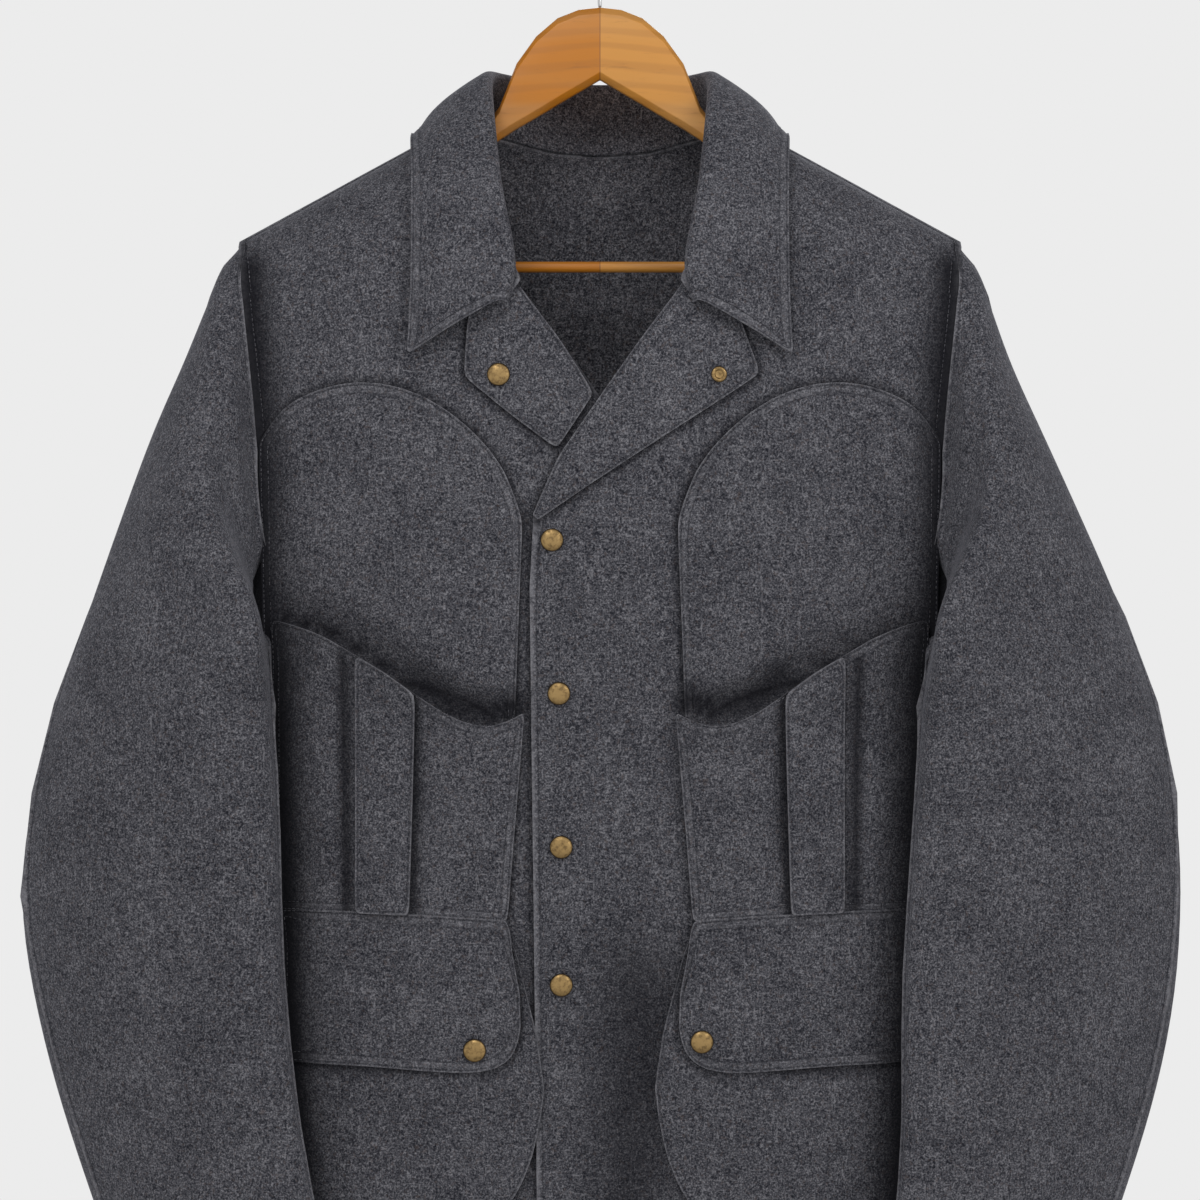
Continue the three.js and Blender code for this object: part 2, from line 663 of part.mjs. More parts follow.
function buildLapel(name, rows, side) {
  const shape = {
    upper: rows.map((row) => ({ x: row.rollX, z: row.rollZ })),
    lower: rows.map((row) => ({ x: row.outX, z: row.outZ })),
  };
  const grid = (extra) => {
    const lines = [];
    for (let row = 0; row <= LAPEL_ROWS; row += 1) {
      lines.push(shape.upper.flatMap((roll, index) => {
        const steps = index < shape.upper.length - 1 ? [0, 0.5] : [0];
        return steps.map((step) => {
          const next = Math.min(index + 1, shape.upper.length - 1);
          const out = shape.lower[index];
          const rollX = lerp(roll.x, shape.upper[next].x, step);
          const rollZ = lerp(roll.z, shape.upper[next].z, step);
          const x = side * lerp(rollX, lerp(out.x, shape.lower[next].x, step), row / LAPEL_ROWS);
          const z = lerp(rollZ, lerp(out.z, shape.lower[next].z, step), row / LAPEL_ROWS);
          return frontPoint(side, x, z).addScaledVector(frontNormal(side, x, z), LAYER_GAP + extra);
        });
      }));
    }
    return lines;
  };
  addPiece(name, wallGeometry(grid(WALL), grid(0)), wool(WOOL_PIECE));
}

// Point on the neckline of the back or a front, on the line of the panel's own points
function necklinePoint(grid, mirror, ridge, x, z) {
  const line = ridge ? grid[0] : grid.map((row) => row[0]);
  const key = (point) => (ridge ? mirror * point.x : -point.z);
  const at = ridge ? x : -z;
  const points = [...line].sort((one, other) => key(one) - key(other));
  const high = clamp(points.findIndex((point) => key(point) >= at), 1, points.length - 1);
  const share = (at - key(points[high - 1])) / (key(points[high]) - key(points[high - 1]));
  return points[high - 1].clone().lerp(points[high], share);
}

// Collar section: up the stand, over the roll and down the fall
function collarSection(share, mirror) {
  const value = (column) => curveAt(COLLAR_ROWS, column, share);
  const roll = (at) => new THREE.Vector3(mirror * curveAt(COLLAR_ROWS, 'rollX', at),
    curveAt(COLLAR_ROWS, 'rollY', at), curveAt(COLLAR_ROWS, 'rollZ', at));
  const travel = roll(Math.min(share + ROLL_STEP, 1)).sub(roll(Math.max(share - ROLL_STEP, 0))).normalize();
  if (share < ROLL_STEP) travel.set(mirror, 0, 0);
  const onBack = share * (COLLAR_ROWS.length - 1) < COLLAR_RIDGE_ROW;
  const face = onBack ? 1 : -1;
  const side = mirror < 0 ? 'right' : 'left';
  const panel = onBack ? { outer: backOuter, inner: backInner } : frontGrids[side];
  const outerEdge = necklinePoint(panel.outer, mirror, onBack, value('seamX'), value('seamZ'));
  const innerEdge = necklinePoint(panel.inner, mirror, onBack, value('seamX'), value('seamZ'));
  const inwards = innerEdge.clone().sub(outerEdge).normalize();
  const tuck = value('tuck');
  const seam = tuck > 0 ? innerEdge : outerEdge;
  seam.addScaledVector(inwards, tuck > 0 ? tuck * LAYER : tuck * LAPEL_TUCK);
  if (tuck > 0 && onBack) seam.z += 1;
  if (!onBack) seam.x -= mirror * COLLAR_INSET;
  const edge = bodyPoint(face, mirror * value('edgeX'), value('edgeZ'));
  const drop = clamp(shoulderHeight(edge.x) - edge.z, 0, CROWN);
  const crown = Math.sqrt(1 - (1 - drop / CROWN) ** 2);
  const off = new THREE.Vector3(mirror * RIDGE_LEAN_X * (1 - crown), face * crown,
    RIDGE_LEAN_Z * (1 - crown));
  edge.addScaledVector(off.normalize(), COLLAR_CLEAR + WALL);
  const crest = roll(share);
  const up = crest.clone().sub(seam.clone().add(edge).multiplyScalar(0.5));
  up.addScaledVector(travel, -up.dot(travel)).normalize();
  const out = travel.clone().cross(up);
  if (out.dot(edge.clone().sub(seam)) < 0) out.negate();
  const axis = crest.clone().addScaledVector(up, -COLLAR_ROLL);
  const standTop = axis.clone().addScaledVector(out, -COLLAR_ROLL);
  const fallTop = axis.clone().addScaledVector(out, COLLAR_ROLL);
  const points = [seam, standTop];
  for (const angle of [45, 90, 135]) {
    const turn = THREE.MathUtils.degToRad(angle);
    points.push(axis.clone().addScaledVector(out, -COLLAR_ROLL * Math.cos(turn))
      .addScaledVector(up, COLLAR_ROLL * Math.sin(turn)));
  }
  for (const part of [0, 0.33, 0.67, 1]) {
    points.push(fallTop.clone().lerp(edge, part).addScaledVector(out, FALL_SWELL * Math.sin(Math.PI * part)));
  }
  return points;
}

function buildCollar() {
  const sections = [];
  for (let step = -COLLAR_STEPS; step <= COLLAR_STEPS; step += 1) {
    sections.push(collarSection(Math.abs(step) / COLLAR_STEPS, step < 0 ? -1 : 1));
  }
  const inner = offsetGrid(sections, -WALL, new THREE.Vector3(0, -1, 0));
  addPiece('collar', wallGeometry(sections, inner), wool(WOOL_PIECE));
}

// Press stud: a domed cap, or a ring socket with its hollow, turned about its own axis
const STUD_PROFILE = [[0, 0], [6.6, 0], [STUD_RADIUS, 0.8], [7.4, 2], [4.6, 3.1], [0, 3.5]];
const SOCKET_PROFILE = [[0, 0], [5, 0], [SOCKET_RADIUS, 0.9], [4.6, 1.8], [3.2, 1.9], [2.6, 0.9], [0, 0.9]];
function buildStud(name, profile, side, x, z, lift) {
  const outline = profile.map(([radius, height]) => new THREE.Vector2(radius, height));
  const stud = addPiece(name, new THREE.LatheGeometry(outline, 16), brass);
  const normal = frontNormal(side, x, z);
  stud.position.copy(frontPoint(side, x, z).addScaledVector(normal, lift));
  stud.quaternion.setFromUnitVectors(new THREE.Vector3(0, 1, 0), normal);
}

// Chamfered wooden section of the hanger, as a ring of eight points
function hangerRing(row, side) {
  const half = row.half;
  const cut = HANGER_CHAMFER;
  const corners = [
    [-half, row.bottom + cut], [-half, row.top - cut], [cut - half, row.top], [half - cut, row.top],
    [half, row.top - cut], [half, row.bottom + cut], [half - cut, row.bottom], [cut - half, row.bottom],
  ];
  return corners.map(([y, z]) => new THREE.Vector3(side * row.x, y, z));
}

function toManifold(geometry) {
  const plain = geometry.clone();
  plain.deleteAttribute('normal');
  plain.deleteAttribute('uv');
  const merged = mergeVertices(plain, 0.001);
  return new wasm.Manifold(new wasm.Mesh({
    numProp: 3,
    vertProperties: new Float32Array(merged.attributes.position.array),
    triVerts: new Uint32Array(merged.index.array),
  }));
}

function fromManifold(solid) {
  const mesh = solid.getMesh();
  const geometry = new THREE.BufferGeometry();
  geometry.setAttribute('position', new THREE.BufferAttribute(new Float32Array(mesh.vertProperties), 3));
  geometry.setIndex(new THREE.BufferAttribute(new Uint32Array(mesh.triVerts), 1));
  geometry.computeVertexNormals();
  return geometry;
}

function buildHanger() {
  const leftRings = HANGER_SECTIONS.map((row) => hangerRing(row, 1));
  const rightRings = HANGER_SECTIONS.slice(1).map((row) => hangerRing(row, -1)).reverse();
  const arms = toManifold(loftGeometry([...rightRings, ...leftRings]));
  const bar = new THREE.CylinderGeometry(BAR_RADIUS, BAR_RADIUS, 2 * BAR_HALF_LENGTH, 12);
  bar.rotateZ(Math.PI / 2);
  bar.translate(0, 0, BAR_HEIGHT);
  addPiece('hanger_frame', fromManifold(arms.add(toManifold(bar))), wood);
}

// Hook: a straight stem that swings out and turns round the rail in most of a circle
function buildHook() {
  const radius = HOOK_INSIDE + HOOK_WIRE;
  const points = [new THREE.Vector3(0, 0, HOOK_STEM_BOTTOM), new THREE.Vector3(0, 0, HOOK_STEM_TOP)];
  for (let angle = HOOK_TURN_FROM; angle <= HOOK_TURN_TO; angle += HOOK_TURN_STEP) {
    const turn = THREE.MathUtils.degToRad(angle);
    points.push(new THREE.Vector3(radius * Math.cos(turn), 0, radius * Math.sin(turn) - HOOK_INSIDE));
  }
  const wire = new THREE.Shape();
  wire.absarc(0, 0, HOOK_WIRE, 0, 2 * Math.PI, false);
  const geometry = new THREE.ExtrudeGeometry(wire, {
    steps: HOOK_STEPS,
    curveSegments: 4,
    extrudePath: new THREE.CatmullRomCurve3(points),
  });
  addPiece('hanger_hook', geometry, steel);
}

buildFront('right', -1);
buildFront('left', 1);
addPiece('back', wallGeometry(backOuter, backInner), wool(WOOL_BODY));
for (const [name, side] of [['right', -1], ['left', 1]]) {
  buildSleeve(name, side, 'front');
  buildSleeve(name, side, 'back');
  buildPatch(`chest_panel_${name}`, CHEST_PANEL, side, 16, 8, () => LAYER_GAP);
  buildPatch(`breast_pocket_${name}`, BREAST_POCKET, side, 16, 7, pocketLift);
  buildPatch(`pocket_pleat_${name}`, pleatShape(), side, 4, 7,
    (share, down) => pocketLift(lerp(PLEAT_FROM, PLEAT_TO, share), down) + LAYER);
  buildPatch(`lower_pocket_${name}`, LOWER_POCKET, side, 14, 6, lowerPocketLift);
  buildPatch(`pocket_flap_${name}`, POCKET_FLAP, side, 14, 4, (share) => lowerPocketLift(share) + LAYER);
}
buildLapel('lapel_right', LAPEL_UNDER, -1);
buildLapel('lapel_left', LAPEL_OVER, 1);
buildCollar();
FRONT_STUDS.forEach((stud, index) => {
  buildStud(`stud_front_${index + 1}`, STUD_PROFILE, 1, stud.x, stud.z, STUD_SEAT);
});
buildStud('stud_lapel', STUD_PROFILE, -1, LAPEL_STUD.x, LAPEL_STUD.z, LAYER + STUD_SEAT);
buildStud('socket_lapel', SOCKET_PROFILE, 1, LAPEL_SOCKET.x, LAPEL_SOCKET.z, LAYER + STUD_SEAT);
for (const stud of FLAP_STUDS) {
  const lift = 2 * LAYER + stud.raised + STUD_SEAT;
  buildStud(`stud_flap_${stud.name}`, STUD_PROFILE, stud.side, stud.side * stud.x, stud.z, lift);
}
buildHanger();
buildHook();

export default jacket;
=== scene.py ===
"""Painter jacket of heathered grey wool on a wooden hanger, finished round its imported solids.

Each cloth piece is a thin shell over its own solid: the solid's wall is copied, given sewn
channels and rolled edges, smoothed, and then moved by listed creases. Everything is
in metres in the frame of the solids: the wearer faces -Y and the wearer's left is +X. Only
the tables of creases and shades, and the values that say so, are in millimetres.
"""

import logging
import math
from dataclasses import dataclass, field, replace
from enum import Enum
from typing import Iterable, Optional, Sequence

import bpy
import numpy as np
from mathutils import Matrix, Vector
from mathutils.bvhtree import BVHTree
from mathutils.kdtree import KDTree


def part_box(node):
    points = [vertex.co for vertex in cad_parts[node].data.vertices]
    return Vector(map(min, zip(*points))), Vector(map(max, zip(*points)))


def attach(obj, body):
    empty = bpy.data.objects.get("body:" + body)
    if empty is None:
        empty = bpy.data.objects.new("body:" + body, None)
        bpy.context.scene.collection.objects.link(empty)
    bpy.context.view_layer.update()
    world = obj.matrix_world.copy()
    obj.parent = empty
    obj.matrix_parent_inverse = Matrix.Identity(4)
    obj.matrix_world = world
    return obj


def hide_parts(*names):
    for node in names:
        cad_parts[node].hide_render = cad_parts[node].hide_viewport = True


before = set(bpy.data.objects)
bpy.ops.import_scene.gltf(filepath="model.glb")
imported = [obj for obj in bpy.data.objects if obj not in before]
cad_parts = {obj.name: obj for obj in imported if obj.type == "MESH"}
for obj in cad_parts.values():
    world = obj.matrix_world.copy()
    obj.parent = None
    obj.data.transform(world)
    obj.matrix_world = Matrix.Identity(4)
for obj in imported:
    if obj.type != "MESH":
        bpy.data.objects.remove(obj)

logging.basicConfig(level=logging.INFO, format="%(message)s")
log = logging.getLogger("jacket")

MM = 0.001

# Wall of the cloth and the sewing
MERGE_DISTANCE = 1e-5
QUAD_ANGLE = math.radians(40)
RIM_WIDTH = 2.6 * MM
WALL_COSINE = math.cos(math.radians(62))
WALL_SHARE = 0.3
CORNER_COSINE = math.cos(math.radians(32))
ON_RIM = 0.99
OUTLINE_POINTS = 9
GROOVE_HALF = 1.1 * MM
GROOVE_DEPTH = 0.75 * MM
STITCH_PITCH = 3.3 * MM
STITCH_LENGTH = 2.5 * MM
STITCH_RADIUS = 0.26 * MM
STITCH_SINK = 0.1 * MM
STITCH_SIDES = 5
STITCH_BODY = 0.3
SHORTEST_STITCH = 0.2
SEWING_REACH = 2 * MM

# Lightening of the cloth between its edge and its last stitch line, from 0 to 1: partly rubbing of the
# cloth and partly painted highlight on the raised band
BAND_WEAR_AND_HIGHLIGHT = 0.42

# Height of a crease at its ends, as a share of its height in the middle, and how near the end counts
CREASE_END = 0.35
CREASE_MARGIN = 0.02

# Depth over which a shade fades out between the front and the back
SHADE_DEPTH = 20 * MM

# Weight of a piece's own side of the jacket when its outer wall is told from its inner one
FACE_LEAN = 0.05

# Hard pieces: edges that are rounded or shaded sharp, the rounding, and the dark rim of a stud
ROUNDED_ANGLE = math.radians(28)
SHARP_ANGLE = math.radians(35)
WOOD_ROUNDING = 1.2 * MM
WOOD_SEGMENTS = 3
ROUND_LEVELS = 2
STUD_RIM_START = 0.86
STUD_RIM_SPAN = 0.12

# Camera, straight on at the middle of the photographed field
FIELD = 0.792
CAMERA_DISTANCE = 3.0
CAMERA_HEIGHT = -0.4527
SENSOR = 36.0

# Surroundings: height of a sight line where the pale band at eye level starts to fade and where it
# ends, and the linear colours of the band, of what is above it and of what is below
BAND_START = 0.25
BAND_END = 0.44
BAND_COLOUR = (0.838, 0.838, 0.838)
ABOVE_COLOUR = (0.07, 0.07, 0.075)
BELOW_COLOUR = (0.46, 0.46, 0.465)

# Floor far below the jacket
FLOOR_DROP = 1.5
FLOOR_RADIUS = 1.5
FLOOR_SIDES = 96
FLOOR_DARK = (0.84, 0.84, 0.84)
FLOOR_LIGHT = (0.87, 0.87, 0.87)
FLOOR_SCALE = 3.0
FLOOR_ROUGHNESS = 0.9

Triple = tuple[float, float, float]
Socket = bpy.types.NodeSocket


class Face(Enum):
    """Side of the jacket that a crease lies on."""

    FRONT = -1
    BACK = 1


class Slot(Enum):
    """Material slot of the record that belongs to a piece."""

    WOOL = "wool"
    BRASS = "brass"
    WOOD = "wood"
    STEEL = "steel"


@dataclass(frozen=True)
class WoolFinish:
    """Look of the felted wool; colours are linear and sizes are features per metre."""

    dark: Triple = (0.012, 0.013, 0.019)
    middle: Triple = (0.080, 0.080, 0.093)
    light: Triple = (0.272, 0.269, 0.292)
    warm: Triple = (0.110, 0.080, 0.070)
    # hollow: colour of the painted shade in folds, in pocket mouths and under the edges of pieces
    hollow: Triple = (0.007, 0.007, 0.010)
    fleck_scale: float = 820.0
    cloud_scale: float = 260.0
    patch_scale: float = 26.0
    fibre_scale: float = 620.0
    fibre_stretch: float = 0.16
    fibre_turn: Triple = (18, 12, 34)
    cross_turn: Triple = (-24, 8, -48)
    fleck_share: float = 0.76
    cloud_share: float = 0.16
    patch_share: float = 0.08
    middle_span: tuple[float, float] = (0.40, 0.52)
    light_span: tuple[float, float] = (0.50, 0.64)
    hair_span: tuple[float, float] = (0.60, 0.72)
    hair_share: float = 0.6
    warm_scale: float = 0.55
    warm_span: tuple[float, float] = (0.58, 0.7)
    warm_share: float = 0.35
    # The next four values lighten the cloth along its edges and stitch bands: partly rubbing, partly
    # painted highlight
    edge_span: tuple[float, float] = (0.15, 1.0)
    wear_and_highlight_span: tuple[float, float] = (0.3, 0.65)
    wear_and_highlight_least: float = 0.2
    wear_and_highlight_most: float = 0.65
    # The next two values paint shade into the stitch channels, darkening them towards the dark colour
    groove_shade_span: tuple[float, float] = (0.3, 1.0)
    groove_shade_share: float = 0.6
    painted_shade_share: float = 0.94
    fibre_height: float = 0.8
    bump: float = 0.55
    bump_distance: float = 0.0006
    roughness: float = 0.95
    specular: float = 0.15
    sheen: float = 0.22
    sheen_roughness: float = 0.45
    sheen_tint: Triple = (0.75, 0.76, 0.85)


@dataclass(frozen=True)
class MetalFinish:
    """Look of a metal; colours are linear and scales are features per metre."""

    base: Triple
    tarnish: Triple
    roughness: float
    worn_roughness: float
    mottle_scale: float
    stain_span: tuple[float, float] = (0.42, 0.72)
    stain_share: float = 0.55
    wear_span: tuple[float, float] = (0.3, 0.7)
    bump: float = 0.12
    bump_distance: float = 0.0003


@dataclass(frozen=True)
class WoodFinish:
    """Look of the lacquered wood; colours are linear and scales are features per metre."""

    # right and left are one wood painted twice: the arm on the wearer's right (-X) is painted in shade,
    # the arm on the left (+X) is painted lit
    right: Triple = (0.600, 0.205, 0.008)
    left: Triple = (0.720, 0.315, 0.055)
    grain: Triple = (0.330, 0.118, 0.028)
    pale: Triple = (0.700, 0.420, 0.180)
    slope_degrees: float = 38.0
    along: float = 0.12
    ring_scale: float = 34.0
    ring_distortion: float = 5.0
    ring_detail: float = 3.0
    ring_span: tuple[float, float] = (0.35, 0.95)
    ring_share: float = 0.22
    drift_span: tuple[float, float] = (0.45, 0.75)
    drift_share: float = 0.35
    pore_scale: float = 260.0
    pore_span: tuple[float, float] = (0.56, 0.72)
    pore_share: float = 0.35
    lit_and_shaded_blend: float = 0.0002
    mitre_span: tuple[float, float] = (0.0001, 0.0007)
    mitre_share: float = 0.75
    gloss_span: tuple[float, float] = (0.3, 0.7)
    roughness: float = 0.38
    dull_roughness: float = 0.52
    coat: float = 0.1
    coat_roughness: float = 0.25
    bump: float = 0.12
    bump_distance: float = 0.0003


WOOL = WoolFinish()
BRASS = MetalFinish((0.42, 0.28, 0.12), (0.07, 0.045, 0.025), 0.36, 0.58, 420.0)
STEEL = MetalFinish((0.62, 0.62, 0.62), (0.4, 0.4, 0.41), 0.22, 0.35, 90.0)
WOOD = WoodFinish()


@dataclass(frozen=True)
class Crease:
    """A soft ridge or hollow along a line on one side of the jacket.

    Attributes:
        face: Side of the jacket that it lies on.
        line: Points (x, z) that it runs through, in millimetres.
        width: Distance over which it fades, in millimetres.
        depth: Height in millimetres; below zero it is a hollow. A shade is made of creases too, and
            there it is the darkness, from 0 to 1.
        push: Sideways part of its direction, along x.
    """

    face: Face
    line: tuple[tuple[float, float], ...]
    width: float
    depth: float
    push: float = 0.0


@dataclass(frozen=True)
class ClothPart:
    """A cloth piece and how it was cut and sewn.

    Attributes:
        node: CAD node that it stands for.
        face: Side of the jacket that carries it.
        flat: Width and length of the flat cut, in metres.
        area: Flat area of the cut, in square metres.
        rests_on: Nodes that it hangs from or lies on.
        lines: Distances of its stitch lines from its edge, in millimetres.
        levels: Steps of smoothing.
        creases: Name of the set of creases that moves it.
        hold: How firmly its border keeps its place, from 0 to 1.
        is_fine: Whether its walls have faces as narrow as its rim.
    """

    node: str
    face: Face
    flat: tuple[float, float]
    area: float
    rests_on: tuple[str, ...]
    lines: tuple[float, ...] = ()
    levels: int = 2
    creases: str = "body"
    hold: float = 0.35
    is_fine: bool = False


def creases_on(face: Face, *rows: tuple) -> tuple[Crease, ...]:
    """Makes the creases of one side of the jacket.

    Args:
        face: Side of the jacket.
        *rows: Line, width, depth and, if it has one, push of each crease.

    Returns:
        The creases.
    """
    return tuple(Crease(face, *row) for row in rows)


def mirrored(*sources: Crease) -> tuple[Crease, ...]:
    """Repeats creases on the other side of the jacket's middle.

    Args:
        *sources: Creases of one half of the jacket.

    Returns:
        Each crease followed by its mirror image.
    """
    pairs: list[Crease] = []
    for source in sources:
        line = tuple((-x, z) for x, z in source.line)
        pairs += [source, replace(source, line=line, push=-source.push)]
    return tuple(pairs)


ARMHOLE_VALLEYS = mirrored(
    Crease(Face.FRONT, ((-224, -240), (-220, -300), (-217, -370), (-224, -440)), 12, -9.0),
    Crease(Face.BACK, ((-230, -250), (-225, -320), (-223, -390)), 14, -6.0),
)

BODY_CREASES = creases_on(
    Face.FRONT,
    (((-204, -205), (-196, -300), (-192, -380)), 26, -3.0),
    (((-150, -190), (-128, -240), (-120, -300)), 24, 3.0),
    (((-118, -215), (-112, -285)), 13, -2.6),
    (((206, -205), (200, -300), (192, -370)), 26, -2.6),
    (((158, -180), (140, -250), (134, -320)), 22, 2.6),
    (((-205, -440), (-150, -420), (-90, -440)), 22, 2.4),
    (((-210, -470), (-160, -478), (-118, -470)), 18, -1.8),
    (((205, -430), (150, -425), (105, -452)), 24, 2.2),
    (((80, -470), (95, -520), (92, -560)), 18, -1.7),
    (((20, -330), (-8, -400), (-20, -440)), 16, 1.6),
    (((10, -470), (16, -560), (12, -660)), 20, 1.5),
    (((40, -480), (44, -600), (38, -700)), 14, -1.6),
    (((-196, -560), (-170, -600), (-168, -660)), 22, 2.4),
    (((-98, -560), (-92, -610), (-96, -650)), 14, -1.6),
    (((188, -560), (172, -610), (176, -650)), 20, 2.0),
    (((60, -600), (66, -680), (58, -760)), 16, 1.8),
    (((-120, -700), (-70, -712), (-50, -760)), 22, 1.6),
    (((-190, -790), (-120, -800), (-60, -830)), 24, -2.0),
    (((-8, -720), (-2, -800), (-10, -880)), 18, 2.2),
    (((22, -700), (30, -790), (26, -880)), 15, -2.4),
    (((14, -690), (18, -800), (14, -910)), 34, -9.0),
    (((170, -760), (120, -800), (70, -840)), 24, 1.8),
) + creases_on(
    Face.BACK,
    (((-190, -250), (-110, -300), (-40, -310)), 26, -2.6),
    (((190, -260), (120, -320), (50, -330)), 24, -2.2),
    (((-150, -340), (-60, -370), (30, -360)), 30, 2.6),
    (((160, -390), (90, -420), (10, -410)), 28, 2.2),
    (((-70, -430), (-78, -560), (-64, -700)), 26, 3.0),
    (((-20, -460), (-14, -600), (-26, -760)), 20, -2.6),
    (((46, -470), (52, -600), (44, -740)), 24, 2.4),
    (((100, -520), (92, -660), (104, -800)), 20, -2.2),
    (((-140, -560), (-128, -680), (-138, -820)), 24, -2.4),
    (((150, -600), (158, -720), (148, -860)), 22, 2.4),
    (((-190, -640), (-182, -760), (-188, -880)), 20, 2.0),
)

# Room behind the mouth of each breast pocket, pressed into the front and its panel
MOUTH_HOLLOWS = creases_on(
    Face.FRONT,
    (((-208, -459), (-172, -470), (-145, -487), (-119, -505),
      (-96, -517), (-73, -523), (-50, -518)), 10, -12.0),
    (((203, -470), (162, -483), (125, -502), (102, -514), (76, -521), (50, -514)), 10, -12.0),
)

# Standing edge of each breast pocket, and the cloth that sinks beside its pleat
MOUTH_LIPS = creases_on(
    Face.FRONT,
    (((-200, -474), (-152, -488), (-125, -505), (-101, -523), (-80, -536), (-58, -532)), 15, 7.0),
    (((200, -484), (150, -502), (112, -521), (86, -532), (70, -533), (52, -526)), 15, 7.0),
)
PLEAT_VALLEYS = creases_on(
    Face.FRONT,
    (((-167, -505), (-166, -560), (-166, -650)), 7, -4.2),
    (((-119, -520), (-119, -580), (-120, -650)), 7, -4.4),
    (((168, -505), (167, -560), (166, -650)), 7, -4.2),
    (((117, -525), (119, -580), (122, -650)), 7, -4.4),
)
PLEAT_RIDGES = creases_on(
    Face.FRONT,
    (((-143, -500), (-144, -560), (-145, -660)), 19, 3.0),
    (((141, -500), (136, -560), (131, -660)), 19, 3.0),
)

SLEEVE_CREASES = mirrored(
    Crease(Face.FRONT, ((-248, -262), (-245, -330), (-243, -400), (-248, -440)), 12, 11.0, 0.6),
) + creases_on(
    Face.FRONT,
    (((-262, -300), (-280, -360), (-276, -430)), 22, 2.6),
    (((-235, -420), (-262, -452), (-300, -462)), 16, -2.2),
    (((-222, -470), (-262, -508), (-306, -516)), 20, 2.8),
    (((-228, -530), (-268, -556), (-318, -556)), 15, -1.8),
    (((-225, -590), (-270, -622), (-330, -640)), 24, 2.4),
    (((-226, -650), (-262, -690), (-330, -704)), 18, -2.2),
    (((-222, -712), (-270, -738), (-318, -736)), 17, 2.0),
    (((-300, -580), (-320, -640), (-318, -700)), 20, 1.6),
    (((-220, -776), (-262, -800), (-300, -796)), 18, -1.6),
    (((262, -300), (276, -350), (280, -420)), 24, 2.4),
    (((238, -410), (270, -446), (306, -450)), 15, -2.4),
    (((222, -486), (266, -500), (312, -494)), 21, 2.4),
    (((226, -548), (280, -572), (330, -566)), 17, -1.8),
    (((222, -616), (268, -640), (340, -634)), 25, 2.6),
    (((220, -690), (276, -706), (340, -690)), 17, -2.0),
    (((222, -742), (262, -764), (312, -762)), 20, 1.8),
    (((306, -560), (326, -640), (320, -720)), 22, 1.4),
) + creases_on(
    Face.BACK,
    (((-250, -360), (-282, -420), (-286, -500)), 22, 2.6),
    (((-230, -540), (-280, -560), (-330, -548)), 18, -2.4),
    (((-228, -620), (-280, -648), (-348, -632)), 22, 2.6),
    (((-222, -700), (-276, -716), (-340, -700)), 17, -2.0),
    (((250, -350), (280, -430), (290, -510)), 24, 2.4),
    (((232, -556), (284, -574), (336, -560)), 19, -2.4),
    (((226, -640), (282, -662), (350, -640)), 23, 2.6),
    (((222, -724), (276, -736), (336, -718)), 18, -2.0),
)

# Shades, for cloth that lies in the depth of a fold: beside the sleeves, in the pocket mouths, down
# the middle of the lower front, and beside the pleats
SLEEVE_SHADES = creases_on(
    Face.FRONT,
    (((-230, -236), (-226, -300), (-222, -370), (-222, -440), (-210, -500),
      (-206, -600), (-202, -710), (-194, -830), (-186, -910)), 14, 1.0),
    (((230, -236), (226, -300), (222, -370), (222, -440), (210, -500),
      (206, -600), (202, -710), (194, -830), (188, -910)), 14, 1.0),
) + creases_on(
    Face.BACK,
    (((-232, -250), (-226, -320), (-226, -420), (-214, -560), (-204, -740), (-192, -910)), 9, 0.5),
    (((232, -250), (226, -320), (226, -420), (214, -560), (204, -740), (192, -910)), 9, 0.5),
)
MOUTH_SHADES = creases_on(
    Face.FRONT,
    (((-208, -463), (-172, -475), (-145, -492), (-119, -510),
      (-96, -522), (-73, -528), (-51, -525)), 6, 1.0),
    (((-119, -506), (-96, -518), (-73, -524), (-56, -521)), 9, 1.0),
    (((203, -475), (162, -488), (125, -507), (102, -519), (76, -526), (51, -521)), 6, 1.0),
    (((118, -504), (102, -514), (76, -521), (56, -516)), 9, 1.0),
)
CENTRE_SHADES = creases_on(
    Face.FRONT,
    (((24, -700), (22, -800), (20, -910)), 30, 0.62),
)
PLEAT_SHADES = creases_on(
    Face.FRONT,
    (((-166, -488), (-165, -560), (-164, -650)), 4.5, 0.85),
    (((-120, -512), (-120, -580), (-121, -650)), 4.5, 0.85),
    (((167, -492), (166, -560), (165, -650)), 4.5, 0.85),
    (((118, -514), (120, -580), (123, -650)), 4.5, 0.85),
)
SHADES = {
    "body": SLEEVE_SHADES + MOUTH_SHADES + CENTRE_SHADES,
    "patch": SLEEVE_SHADES,
    "pocket": SLEEVE_SHADES + PLEAT_SHADES,
    "pleat": (),
    "sleeve": (),
    "none": (),
}

CREASE_SETS = {
    "body": BODY_CREASES + ARMHOLE_VALLEYS + MOUTH_HOLLOWS,
    "patch": BODY_CREASES + ARMHOLE_VALLEYS,
    "pocket": BODY_CREASES + ARMHOLE_VALLEYS + MOUTH_LIPS + PLEAT_VALLEYS,
    "pleat": BODY_CREASES + ARMHOLE_VALLEYS + MOUTH_LIPS + PLEAT_RIDGES,
    "sleeve": SLEEVE_CREASES + ARMHOLE_VALLEYS,
    "none": (),
}

# How far the smoothing draws the sleeves in, which is given back at their outside; start and span are
# distances from the middle plane in millimetres
SLEEVE_SWELL = 0.4 * MM
SWELL_START = 255
SWELL_SPAN = 75

